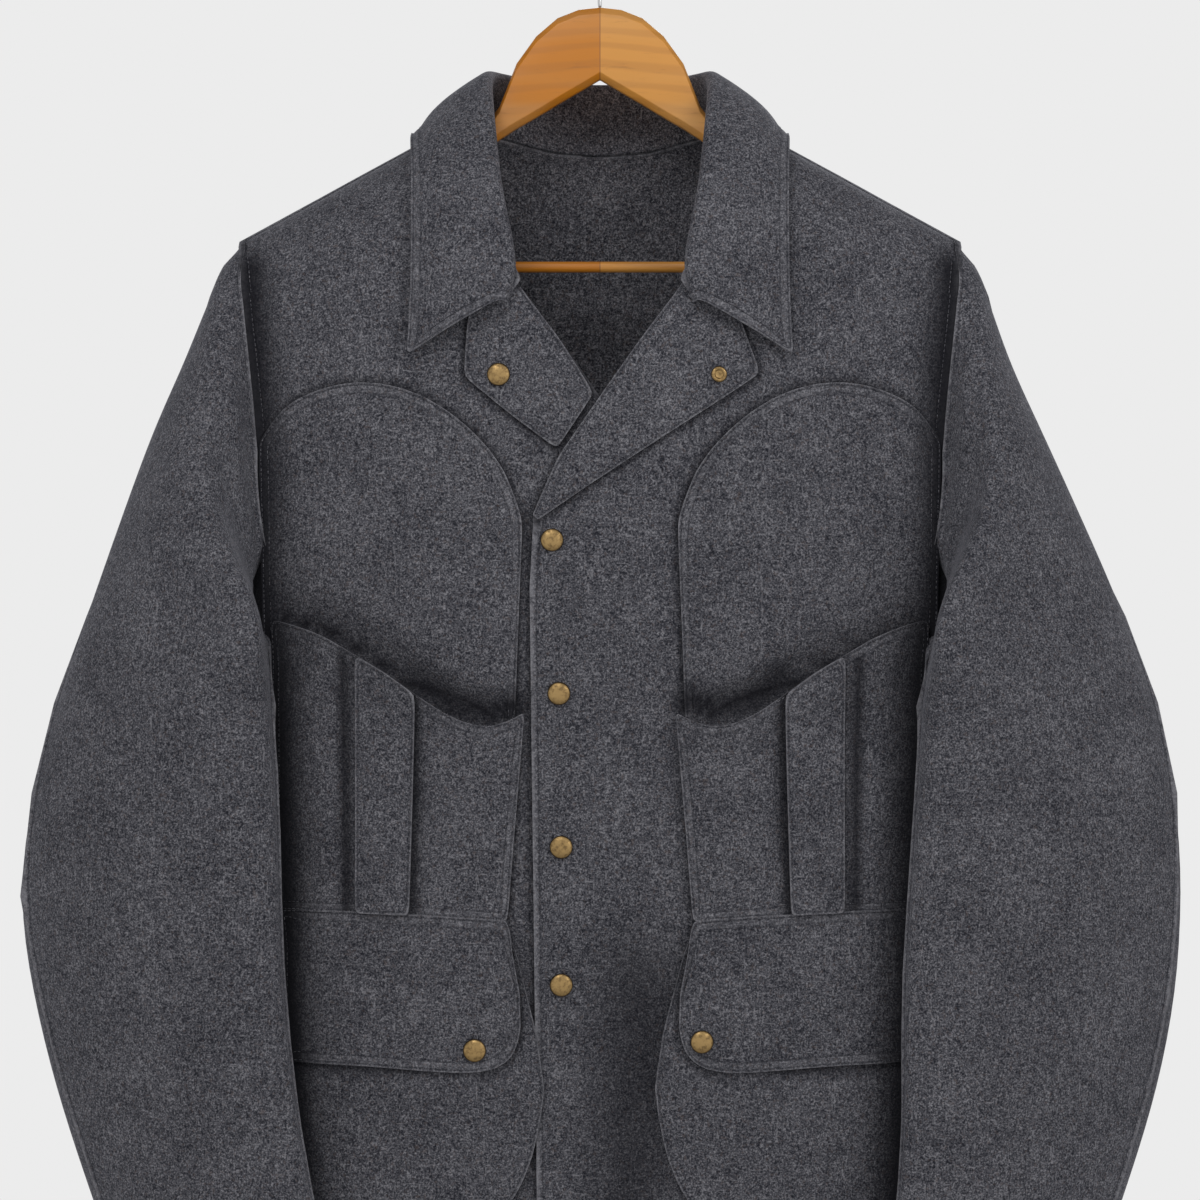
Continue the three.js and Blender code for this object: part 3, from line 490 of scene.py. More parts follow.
# How far the sleeves' fronts lie over the body at the underarm: sideways and forwards. Drop, fade, edge
# and span are in millimetres: how far below the hook the middle is, over what height it fades, and from
# which distance from the middle plane it grows, over what width. It holds in front of the plane
# OVERLAP_BEHIND and is full a depth of OVERLAP_DEPTH further to the front
OVERLAP = 20.0 * MM
OVERLAP_LIFT = 14.0 * MM
OVERLAP_DROP = 456
OVERLAP_FADE = 50
OVERLAP_EDGE = 276
OVERLAP_SPAN = 40
OVERLAP_BEHIND = 10 * MM
OVERLAP_DEPTH = 36 * MM

# How far the sleeves' tips move over the shoulders' corners: inwards and upwards. Place and drop are the
# tip's distance from the middle plane and below the hook, fade is its reach, all in millimetres
TIP_SHIFT = 4.5 * MM
TIP_LIFT = 1.5 * MM
TIP_PLACE = 241
TIP_DROP = 221
TIP_FADE = 14

# How far the feet of the breast pockets and their pleats move down; start and span are distances below
# the hook in millimetres
FOOT_DROP = 2.6 * MM
FOOT_START = 610
FOOT_SPAN = 40

# How dark the cloth is under the edge of a piece that lies on it, and how far that reaches
UNDER_SHADE = 0.85
UNDER_REACH = 3.6 * MM

SIDES = ("right", "left")

# Pieces whose stitch channels keep their distance at slanting corners; the others have finer corners,
# where that would throw spikes
EVEN_PIECES = ("pocket_pleat", "lapel_right")
STUDS = ("stud_front_1", "stud_front_2", "stud_front_3", "stud_front_4", "stud_lapel", "socket_lapel",
         "stud_flap_right", "stud_flap_left")


def cloth_parts() -> list[ClothPart]:
    """Lists every cloth piece with the size of its flat cut.

    Returns:
        The pieces, each after those that it lies on.
    """
    parts = [
        ClothPart("back", Face.BACK, (0.58, 0.80), 0.385, ("hanger_frame",), (3.0,), hold=1.0),
    ]
    for side in SIDES:
        front = f"front_{side}"
        breast = f"breast_pocket_{side}"
        lower = f"lower_pocket_{side}"
        parts += [
            ClothPart(front, Face.FRONT, (0.34, 0.80), 0.208, ("hanger_frame",), (4.0,),
                      levels=3, hold=1.0),
            ClothPart(f"sleeve_front_{side}", Face.FRONT, (0.22, 0.66), 0.112, (front,), (2.6,),
                      levels=3, creases="sleeve", hold=1.0),
            ClothPart(f"sleeve_back_{side}", Face.BACK, (0.22, 0.68), 0.112, ("back",), (2.6,),
                      creases="sleeve", hold=1.0),
            ClothPart(f"chest_panel_{side}", Face.FRONT, (0.19, 0.35), 0.056, (front,), (1.5, 6.4)),
            ClothPart(breast, Face.FRONT, (0.18, 0.19), 0.026, (front,), (1.5, 5.6), creases="pocket"),
            ClothPart(f"pocket_pleat_{side}", Face.FRONT, (0.04, 0.18), 0.006, (breast,), (1.6,),
                      creases="pleat"),
            ClothPart(lower, Face.FRONT, (0.18, 0.22), 0.0355, (front,), (1.6,), creases="patch"),
            ClothPart(f"pocket_flap_{side}", Face.FRONT, (0.17, 0.11), 0.0165, (lower,), (1.6, 6.6),
                      creases="patch"),
        ]
    parts += [
        ClothPart("lapel_right", Face.FRONT, (0.07, 0.14), 0.0059, ("front_right",), (1.6,),
                  is_fine=True),
        ClothPart("lapel_left", Face.FRONT, (0.08, 0.19), 0.0092, ("front_left",), (1.6,),
                  is_fine=True),
        ClothPart("collar", Face.FRONT, (0.62, 0.14), 0.063, ("front_right", "front_left"),
                  (1.5, 6.4), creases="none", is_fine=True),
    ]
    return parts


def activate(obj: bpy.types.Object) -> None:
    """Makes one object the only selected and active one.

    Args:
        obj: Object to select.
    """
    bpy.ops.object.select_all(action="DESELECT")
    obj.select_set(True)
    bpy.context.view_layer.objects.active = obj


def link(name: str, data: bpy.types.ID) -> bpy.types.Object:
    """Puts new data into the scene.

    Args:
        name: Name of the object.
        data: Mesh, light or camera.

    Returns:
        The object, at the origin.
    """
    obj = bpy.data.objects.new(name, data)
    bpy.context.scene.collection.objects.link(obj)
    return obj


def copy_solid(node: str, ending: str) -> bpy.types.Object:
    """Copies a solid, joins its loose corners and turns its triangles into four-sided faces.

    Args:
        node: CAD node to copy.
        ending: What the name gets after the node's name.

    Returns:
        The copy, without a material.
    """
    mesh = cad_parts[node].data.copy()
    mesh.materials.clear()
    copy = link(f"{node}_{ending}", mesh)
    activate(copy)
    bpy.ops.object.mode_set(mode="EDIT")
    bpy.ops.mesh.select_mode(type="FACE")
    bpy.ops.mesh.select_all(action="SELECT")
    bpy.ops.mesh.remove_doubles(threshold=MERGE_DISTANCE)
    bpy.ops.mesh.tris_convert_to_quads(face_threshold=QUAD_ANGLE, shape_threshold=math.pi)
    bpy.ops.object.mode_set(mode="OBJECT")
    return copy


def subdivide(obj: bpy.types.Object, levels: int) -> None:
    """Smooths a piece.

    Args:
        obj: Piece to smooth.
        levels: Steps of smoothing.
    """
    modifier = obj.modifiers.new("smoothing", "SUBSURF")
    modifier.levels = levels
    modifier.render_levels = levels
    activate(obj)
    bpy.ops.object.modifier_apply(modifier=modifier.name)
    bpy.ops.object.shade_smooth()


def open_edges(faces: Iterable[bpy.types.MeshPolygon]) -> list[tuple[int, int]]:
    """Finds the edges that only one of some faces has.

    Args:
        faces: Faces to look at.

    Returns:
        A pair of vertices for each edge.
    """
    uses: dict[tuple[int, int], int] = {}
    for face in faces:
        for key in face.edge_keys:
            uses[key] = uses.get(key, 0) + 1
    return [key for key, count in uses.items() if count == 1]


def read_values(mesh: bpy.types.Mesh, name: str) -> np.ndarray:
    """Reads a number that is kept for each point.

    Args:
        mesh: Mesh to read.
        name: Name of the attribute.

    Returns:
        One value a point.
    """
    values = np.zeros(len(mesh.vertices), np.float32)
    mesh.attributes[name].data.foreach_get("value", values)
    return values


def write_values(mesh: bpy.types.Mesh, name: str, values: np.ndarray, domain: str = "POINT") -> None:
    """Writes a number for each point or edge.

    Args:
        mesh: Mesh to change.
        name: Name of the attribute, which is made where the mesh hasn't got it.
        values: One value for each point or edge.
        domain: POINT or EDGE.
    """
    store = mesh.attributes.get(name) or mesh.attributes.new(name, "FLOAT", domain)
    store.data.foreach_set("value", values.astype(np.float32))


def coordinates(mesh: bpy.types.Mesh) -> np.ndarray:
    """Reads the vertices of a mesh.

    Args:
        mesh: Mesh to read.

    Returns:
        One row of x, y, z a vertex, in metres.
    """
    values = np.zeros(len(mesh.vertices) * 3)
    mesh.vertices.foreach_get("co", values)
    return values.reshape(-1, 3)


def write_coordinates(mesh: bpy.types.Mesh, values: np.ndarray) -> None:
    """Writes the vertices of a mesh.

    Args:
        mesh: Mesh to change.
        values: One row of x, y, z a vertex, in metres.
    """
    mesh.vertices.foreach_set("co", values.ravel())
    mesh.update()


def distance_to_line(points: np.ndarray, line: Sequence[tuple[float, float]]
                     ) -> tuple[np.ndarray, np.ndarray]:
    """Measures points against a line of straight stretches.

    Args:
        points: One row of x, z a point.
        line: Points that the line runs through.

    Returns:
        Distance of each point from the line, and its share along the line.
    """
    best = np.full(len(points), np.inf)
    share = np.zeros(len(points))
    total = len(line) - 1
    for index in range(total):
        start = np.array(line[index])
        step = np.array(line[index + 1]) - start
        along = np.clip((points - start) @ step / (step @ step), 0, 1)
        away = np.linalg.norm(points - (start + along[:, None] * step), axis=1)
        nearer = away < best
        best = np.where(nearer, away, best)
        share = np.where(nearer, (index + along) / total, share)
    return best, share


def crease_shift(points: np.ndarray, face: Face, creases: Iterable[Crease]) -> np.ndarray:
    """Adds up how far creases move points.

    Args:
        points: One row of x, y, z a point, in metres.
        face: Side of the jacket that the points belong to.
        creases: Creases to add.

    Returns:
        The move of each point, in metres.
    """
    flat = points[:, (0, 2)] / MM
    shift = np.zeros_like(points)
    for crease in creases:
        if crease.face is not face:
            continue
        away, share = distance_to_line(flat, crease.line)
        height = crease.depth * np.exp(-((away / crease.width) ** 2))
        height *= CREASE_END + (1 - CREASE_END) * np.sin(
            np.pi * np.clip(share, CREASE_MARGIN, 1 - CREASE_MARGIN))
        shift[:, 1] += face.value * height * MM
        shift[:, 0] += crease.push * height * MM
    return shift


class ClothPiece:
    """One cloth piece as a thin shell over its solid."""

    def __init__(self, part: ClothPart) -> None:
        """Copies the solid's wall.

        Args:
            part: How the piece was cut and sewn.
        """
        self.part = part
        self.stitch_lines: list[np.ndarray] = []
        self.outline = np.zeros((0, 3))
        self.object = copy_solid(part.node, "cloth")

    def rim_faces(self) -> np.ndarray:
        """Finds the narrow faces that join the outer wall to the inner one.

        Returns:
            A mask over the faces.
        """
        mesh = self.object.data
        if self.part.is_fine:
            return self.turned_faces()
        points = coordinates(mesh)
        narrow = []
        for face in mesh.polygons:
            sides = [np.linalg.norm(points[one] - points[two]) for one, two in face.edge_keys]
            narrow.append(min(sides) < RIM_WIDTH)
        return np.array(narrow)

    def turned_faces(self) -> np.ndarray:
        """Finds the faces that belong to neither wall, by the sharp turn between them and the walls.

        Returns:
            A mask over the faces.
        """
        mesh = self.object.data
        normals = np.array([face.normal[:] for face in mesh.polygons])
        neighbours: dict[tuple[int, int], list[int]] = {}
        for face in mesh.polygons:
            for key in face.edge_keys:
                neighbours.setdefault(key, []).append(face.index)
        group = np.full(len(mesh.polygons), -1)
        linked: list[list[int]] = [[] for _ in mesh.polygons]
        for pair in neighbours.values():
            if len(pair) == 2 and normals[pair[0]] @ normals[pair[1]] > WALL_COSINE:
                linked[pair[0]].append(pair[1])
                linked[pair[1]].append(pair[0])
        areas = []
        for start in range(len(mesh.polygons)):
            if group[start] >= 0:
                continue
            waiting = [start]
            group[start] = len(areas)
            area = 0.0
            while waiting:
                index = waiting.pop()
                area += mesh.polygons[index].area
                for other in linked[index]:
                    if group[other] < 0:
                        group[other] = len(areas)
                        waiting.append(other)
            areas.append(area)
        largest = max(areas)
        walls = [index for index, area in enumerate(areas) if area > WALL_SHARE * largest]
        return ~np.isin(group, walls)

    def sew(self) -> None:
        """Rolls the edges and presses a channel into both walls along each stitch line."""
        mesh = self.object.data
        rim = self.rim_faces()
        edge = np.zeros(len(mesh.vertices))
        for face in mesh.polygons:
            if rim[face.index]:
                edge[list(face.vertices)] = 1.0
        write_values(mesh, "edge", edge)
        write_values(mesh, "groove", np.zeros(len(mesh.vertices)))
        mesh.polygons.foreach_set("select", ~rim)
        activate(self.object)
        bpy.ops.object.mode_set(mode="EDIT")
        bpy.ops.mesh.select_mode(type="FACE")
        inset = 0.0
        half = GROOVE_HALF / MM
        is_even = self.part.node.startswith(EVEN_PIECES)
        for line in self.part.lines:
            # Bands between the edge and the stitch lines are lightened: partly rubbing, partly painted
            # highlight
            after = BAND_WEAR_AND_HIGHLIGHT if line != self.part.lines[-1] else 0.0
            loops = (
                (line - half, False, BAND_WEAR_AND_HIGHLIGHT),
                (line, True, BAND_WEAR_AND_HIGHLIGHT),
                (line + half, False, after),
            )
            for reach, is_groove, loop_wear_and_highlight in loops:
                bpy.ops.mesh.inset(thickness=(reach - inset) * MM, depth=0, use_even_offset=is_even)
                inset = reach
                self.mark_loop(is_groove, loop_wear_and_highlight)
        bpy.ops.object.mode_set(mode="OBJECT")
        self.hold_border()
        log.info("%s: %d faces sewn, %d stitch lines", self.part.node, len(mesh.polygons),
                 len(self.stitch_lines))

    def hold_border(self) -> None:
        """Keeps the border where it is when the shell is smoothed, and notes where it runs."""
        mesh = self.object.data
        on_rim = read_values(mesh, "edge") > ON_RIM
        ends = np.zeros(len(mesh.edges) * 2, np.int32)
        mesh.edges.foreach_get("vertices", ends)
        held = on_rim[ends[0::2]] & on_rim[ends[1::2]]
        write_values(mesh, "crease_edge", held * self.part.hold, "EDGE")
        rim = [face for face in mesh.polygons if on_rim[list(face.vertices)].all()]
        border = np.array(open_edges(rim))
        points = coordinates(mesh)
        if self.part.hold == 1.0:
            write_values(mesh, "crease_vert", self.corners(points, border))
        starts = points[border[:, 0]]
        stops = points[border[:, 1]]
        shares = np.linspace(0, 1, OUTLINE_POINTS)
        self.outline = np.vstack([starts + (stops - starts) * share for share in shares])

    def corners(self, points: np.ndarray, border: np.ndarray) -> np.ndarray:
        """Finds the corners of the border.

        Args:
            points: Points of the piece.
            border: Pairs of vertices, one for each edge where the rim meets a wall.

        Returns:
            One value a point: 1 at a corner, else 0.
        """
        ways: dict[int, list[np.ndarray]] = {}
        for one, two in border:
            step = points[two] - points[one]
            step /= np.linalg.norm(step)
            ways.setdefault(int(one), []).append(step)
            ways.setdefault(int(two), []).append(-step)
        values = np.zeros(len(points))
        for vertex, steps in ways.items():
            if len(steps) != 2 or -(steps[0] @ steps[1]) < CORNER_COSINE:
                values[vertex] = 1.0
        return values

    def mark_loop(self, is_groove: bool, loop_wear_and_highlight: float) -> None:
        """Writes the attributes of the loop round the selected faces: its lightening, partly painted
        highlight, and on a sewn loop the painted shade of its channel, which it presses in.

        Args:
            is_groove: Whether a stitch line lies on this loop.
            loop_wear_and_highlight: How much lighter the cloth is on this loop, partly from rubbing and
                partly as painted highlight, from 0 to 1.
        """
        bpy.ops.object.mode_set(mode="OBJECT")
        mesh = self.object.data
        chosen = [face for face in mesh.polygons if face.select]
        border = open_edges(chosen)
        inside = {vertex for face in chosen for vertex in face.vertices}
        edge = mesh.attributes["edge"].data
        groove = mesh.attributes["groove"].data
        loop = {vertex for key in border for vertex in key}
        for vertex in inside:
            edge[vertex].value = 0.0
            groove[vertex].value = 0.0
        for vertex in loop:
            edge[vertex].value = loop_wear_and_highlight
        if is_groove:
            for chain in chains_of(border):
                points = np.array([mesh.vertices[index].co[:] for index in chain])
                normals = np.array([mesh.vertices[index].normal[:] for index in chain])
                if self.is_outer(points, normals):
                    self.stitch_lines.append(points)
            for vertex in loop:
                groove[vertex].value = 1.0
                mesh.vertices[vertex].co -= mesh.vertices[vertex].normal * GROOVE_DEPTH
        bpy.ops.object.mode_set(mode="EDIT")

    def is_outer(self, points: np.ndarray, normals: np.ndarray) -> bool:
        """Tells the wall that shows from the one that lies on the jacket.

        Args:
            points: Points of a loop.
            normals: Normals at those points.

        Returns:
            True on the wall that shows.
        """
        if self.part.creases == "sleeve" or self.part.node == "back":
            middle = points.mean(axis=0)
            outward = points - middle
            outward[:, 2] = 0
            outward[:, 1] += self.part.face.value * FACE_LEAN
            return float((outward * normals).sum()) > 0
        return float(normals[:, 1].mean()) < 0

    def fold(self) -> None:
        """Moves the shell, its stitch lines and its outline, and darkens what lies in a fold."""
        mesh = self.object.data
        points = coordinates(mesh)
        write_coordinates(mesh, self.folded(points))
        self.stitch_lines = [self.folded(line) for line in self.stitch_lines]
        self.outline = self.folded(self.outline)
        write_values(mesh, "painted_shade", np.zeros(len(points)))
        # Painted shade for cloth that lies in the depth of a fold, from the tables of shades
        painted_shade = np.zeros(len(points))
        for shade in SHADES[self.part.creases]:
            away, _share = distance_to_line(points[:, (0, 2)] / MM, shade.line)
            on_face = np.clip(0.5 + shade.face.value * points[:, 1] / SHADE_DEPTH, 0, 1)
            painted_shade = np.maximum(painted_shade, shade.depth * on_face * np.exp(-((away / shade.width) ** 2)))
        self.write_painted_shade(painted_shade)

    def folded(self, points: np.ndarray) -> np.ndarray:
        """Moves points of the piece by its creases and beyond its solid.

        Args:
            points: One row of x, y, z a point, in metres.

        Returns:
            The moved points.
        """
        shift = crease_shift(points, self.part.face, CREASE_SETS[self.part.creases])
        return points + shift + self.reach_out(points)

    def write_painted_shade(self, painted_shade: np.ndarray) -> None:
        """Writes the painted shade of each point, where it isn't darker already.

        Args:
            painted_shade: Darkness of the painted shade at each point, from 0 to 1.
        """
        mesh = self.object.data
        write_values(mesh, "painted_shade", np.maximum(read_values(mesh, "painted_shade"), painted_shade))

    def shade_under(self, upper: "ClothPiece") -> None:
        """Darkens the cloth where it runs under the edge of a piece that lies on it.

        Args:
            upper: Piece that lies on this one.
        """
        near = KDTree(len(upper.outline))
        for index, point in enumerate(upper.outline):
            near.insert(point, index)
        near.balance()
        points = coordinates(self.object.data)
        away = np.array([near.find(point)[2] for point in points])
        self.write_painted_shade(UNDER_SHADE * np.exp(-((away / UNDER_REACH) ** 2)))

    def reach_out(self, points: np.ndarray) -> np.ndarray:
        """Moves points where the shell goes beyond its solid.

        A sleeve's outside moves out, its front moves over the body at the underarm, and its tip
        moves over the shoulder's corner. The feet of the breast pockets and pleats move down.

        Args:
            points: One row of x, y, z a point, in metres.

        Returns:
            The move of each point, in metres.
        """
        shift = np.zeros_like(points)
        side = np.sign(points[:, 0])
        reach = np.abs(points[:, 0]) / MM
        height = points[:, 2] / MM
        if self.part.creases == "sleeve":
            outside = np.clip((reach - SWELL_START) / SWELL_SPAN, 0, 1)
            shift[:, 0] = side * SLEEVE_SWELL * outside
            near = np.clip((OVERLAP_EDGE - reach) / OVERLAP_SPAN, 0, 1)
            inside = near ** 2 * (3 - 2 * near)
            inside *= np.exp(-(((height + OVERLAP_DROP) / OVERLAP_FADE) ** 2))
            inside *= np.clip((OVERLAP_BEHIND - points[:, 1]) / OVERLAP_DEPTH, 0, 1)
            shift[:, 0] -= side * OVERLAP * inside
            shift[:, 1] -= OVERLAP_LIFT * inside
            away = (reach - TIP_PLACE) ** 2 + (height + TIP_DROP) ** 2
            tip = np.exp(-away / TIP_FADE ** 2)
            shift[:, 0] -= side * TIP_SHIFT * tip
            shift[:, 2] += TIP_LIFT * tip
        elif self.part.creases in ("pocket", "pleat"):
            low = np.clip((-height - FOOT_START) / FOOT_SPAN, 0, 1)
            shift[:, 2] = -FOOT_DROP * low
        return shift

    def declare(self, material: bpy.types.Material, sewing: Sequence[bpy.types.Object]) -> None:
        """Gives the piece and its sewing their material, hangs them under the root body and hides the
        piece's solid.

        Args:
            material: Wool of the piece.
            sewing: Separate pieces sewn on it.
        """
        self.object.data.materials.append(material)
        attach(self.object, "root")
        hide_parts(self.part.node)
        for piece in sewing:
            piece.data.materials.clear()
            piece.data.materials.append(material)
            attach(piece, "root")


def chains_of(edges: Sequence[tuple[int, int]]) -> list[list[int]]:
    """Joins edges into closed chains of vertices.

    Args:
        edges: Pairs of vertices.

    Returns:
        The vertices of each chain in order, with the first one repeated at the end.
    """
    linked: dict[int, list[int]] = {}
    for one, two in edges:
        linked.setdefault(one, []).append(two)
        linked.setdefault(two, []).append(one)
    chains = []
    seen: set[int] = set()
    for start in linked:
        if start in seen:
            continue
        chain = [start]
        seen.add(start)
        while True:
            onward = [index for index in linked[chain[-1]] if index not in seen]
            if not onward:
                break
            chain.append(onward[0])
            seen.add(onward[0])
        chain.append(start)
        chains.append(chain)
    return chains


def resample(points: np.ndarray, pitch: float) -> np.ndarray:
    """Spaces points evenly along a line.

    Args:
        points: Points of the line.
        pitch: Distance between the new points, in metres.

    Returns:
        The new points.
    """
    steps = np.linalg.norm(np.diff(points, axis=0), axis=1)
    length = np.concatenate(([0.0], np.cumsum(steps)))
    places = np.arange(0.0, length[-1], pitch)
    return np.column_stack([np.interp(places, length, points[:, axis]) for axis in range(3)])


class Sewing:
    """Thread of a cloth piece: one short stitch after the other along its stitch lines."""

    def __init__(self, piece: ClothPiece) -> None:
        """Keeps the piece and a tree of its surface.

        Args:
            piece: Finished cloth piece.
        """
        self.piece = piece
        mesh = piece.object.data
        points = coordinates(mesh)
        faces = [tuple(face.vertices) for face in mesh.polygons]
        self.tree = BVHTree.FromPolygons(points.tolist(), faces)

    def build(self) -> Optional[bpy.types.Object]:
        """Makes the stitches.

        Returns:
            The thread, or None where the piece has no stitch line.
        """
        vertices: list[Triple] = []
        faces: list[tuple[int, ...]] = []
        for line in self.piece.stitch_lines:
            places = resample(line, STITCH_PITCH)
            for index in range(len(places) - 1):
                self.add_stitch(Vector(places[index]), Vector(places[index + 1]), vertices, faces)
        if not vertices:
            return None
        mesh = bpy.data.meshes.new(f"{self.piece.part.node}_thread")
        mesh.from_pydata(vertices, [], faces)
        for name in ("edge", "groove", "painted_shade"):
            write_values(mesh, name, np.zeros(len(vertices)))
        thread = link(f"{self.piece.part.node}_thread", mesh)
        activate(thread)
        bpy.ops.object.shade_smooth()
        return thread

    def add_stitch(self, start: Vector, end: Vector, vertices: list[Triple],
                   faces: list[tuple[int, ...]]) -> None:
        """Adds one spindle-shaped stitch that lies in its channel.

        Args:
            start: Where the thread comes up.
            end: Where the next stitch comes up.
            vertices: Vertices made so far.
            faces: Faces made so far.
        """
        step = end - start
        if step.length < SHORTEST_STITCH * STITCH_PITCH:
            return
        middle, normal, _index, distance = self.tree.find_nearest(start + step * 0.5)
        if middle is None or distance > SEWING_REACH:
            return
        direction = (step - normal * step.dot(normal)).normalized()
        across = direction.cross(normal)
        centre = middle + normal * (STITCH_RADIUS - STITCH_SINK)
        base = len(vertices)
        vertices.append(tuple(centre - direction * (STITCH_LENGTH / 2) - normal * STITCH_RADIUS))
        for share in (-STITCH_BODY, STITCH_BODY):
            for turn in range(STITCH_SIDES):
                angle = 2 * math.pi * turn / STITCH_SIDES
                side = across * math.cos(angle) + normal * math.sin(angle)
                place = centre + direction * (STITCH_LENGTH * share) + side * STITCH_RADIUS
                vertices.append(tuple(place))
        vertices.append(tuple(centre + direction * (STITCH_LENGTH / 2) - normal * STITCH_RADIUS))
        first = base + 1
        second = first + STITCH_SIDES
        last = second + STITCH_SIDES
        for turn in range(STITCH_SIDES):
            after = (turn + 1) % STITCH_SIDES
            faces.append((base, first + turn, first + after))
            faces.append((first + turn, second + turn, second + after, first + after))
            faces.append((last, second + after, second + turn))


@dataclass
class NodeTree:
    """Short way to build a node tree.

    Attributes:
        tree: Tree that gets the nodes.
        column: Place of the next node, so that the tree reads from left to right.
    """

    tree: bpy.types.NodeTree
    column: int = field(default=0)

    def add(self, kind: str, **settings: object) -> bpy.types.Node:
        """Adds a node.

        Args:
            kind: Node type.
            **settings: Properties of the node.

        Returns:
            The node.
        """
        node = self.tree.nodes.new(kind)
        node.location = (self.column * 180, 0)
        self.column += 1
        for name, value in settings.items():
            setattr(node, name, value)
        return node

    def join(self, source: Socket, target: Socket) -> None:
        """Links two sockets.

        Args:
            source: Output.
            target: Input.
        """
        self.tree.links.new(source, target)

    def noise(self, vector: Socket, scale: float, detail: float, roughness: float) -> Socket:
        """Adds a noise texture.

        Args:
            vector: Coordinates.
            scale: Features per metre.
            detail: Octaves.
            roughness: Weight of the fine octaves.

        Returns:
            The noise value.
        """
        node = self.add("ShaderNodeTexNoise")
        node.inputs["Scale"].default_value = scale
        node.inputs["Detail"].default_value = detail
        node.inputs["Roughness"].default_value = roughness
        self.join(vector, node.inputs["Vector"])
        return node.outputs["Fac"]

    def stretch(self, vector: Socket, turn: Triple, scale: Triple) -> Socket:
        """Turns and scales coordinates.

        Args:
            vector: Coordinates.
            turn: Angles in degrees.
            scale: Factors along x, y and z.

        Returns:
            The new coordinates.
        """
        node = self.add("ShaderNodeMapping")
        node.inputs["Rotation"].default_value = tuple(math.radians(angle) for angle in turn)
        node.inputs["Scale"].default_value = scale
        self.join(vector, node.inputs["Vector"])
        return node.outputs["Vector"]

    def remap(self, value: Socket, span: tuple[float, float], start: float = 0.0,
              end: float = 1.0) -> Socket:
        """Maps a range of values onto another one with soft ends.

        Args:
            value: Value to map.
            span: Start and end of the range.
            start: Result at the start.
            end: Result at the end.

        Returns:
            The mapped value.
        """
        node = self.add("ShaderNodeMapRange", interpolation_type="SMOOTHSTEP")
        node.inputs["From Min"].default_value = span[0]
        node.inputs["From Max"].default_value = span[1]
        node.inputs["To Min"].default_value = start
        node.inputs["To Max"].default_value = end
        self.join(value, node.inputs["Value"])
        return node.outputs["Result"]

    def maths(self, operation: str, one: object, two: object) -> Socket:
        """Adds a calculation.

        Args:
            operation: Name of the operation.
            one: Socket or number.
            two: Socket or number.

        Returns:
            The result.
        """
        node = self.add("ShaderNodeMath", operation=operation)
        for socket, value in zip(node.inputs, (one, two)):
            if isinstance(value, (int, float)):
                socket.default_value = value
            else:
                self.join(value, socket)
        return node.outputs["Value"]

    def mix(self, share: object, one: object, two: object) -> Socket:
        """Mixes two colours.

        Args:
            share: Socket or number.
            one: Socket or linear colour at share 0.
            two: Socket or linear colour at share 1.

        Returns:
            The mixed colour.
        """
        node = self.add("ShaderNodeMix", data_type="RGBA")
        for name, value in (("Factor_Float", share), ("A_Color", one), ("B_Color", two)):
            socket = next(entry for entry in node.inputs if entry.identifier == name)
            if isinstance(value, (int, float)):
                socket.default_value = value
            elif isinstance(value, tuple):
                socket.default_value = (*value, 1.0)
            else:
                self.join(value, socket)
        return next(entry for entry in node.outputs if entry.identifier == "Result_Color")

    def attribute(self, name: str) -> Socket:
        """Reads an attribute of the mesh.

        Args:
            name: Name of the attribute.

        Returns:
            Its value.
        """
        node = self.add("ShaderNodeAttribute", attribute_name=name)
        return node.outputs["Fac"]


def new_group(name: str, inputs: Sequence[tuple[str, str]], outputs: Sequence[tuple[str, str]]
              ) -> tuple[NodeTree, bpy.types.Node, bpy.types.Node]:
    """Starts a shared node group.

    Args:
        name: Name of the group.
        inputs: Name and socket type of each input.
        outputs: Name and socket type of each output.

    Returns:
        The tree and its input and output nodes.
    """
    group = bpy.data.node_groups.new(name, "ShaderNodeTree")
    for label, kind in inputs:
        group.interface.new_socket(label, in_out="INPUT", socket_type=kind)
    for label, kind in outputs:
        group.interface.new_socket(label, in_out="OUTPUT", socket_type=kind)
    nodes = NodeTree(group)
    return nodes, nodes.add("NodeGroupInput"), nodes.add("NodeGroupOutput")


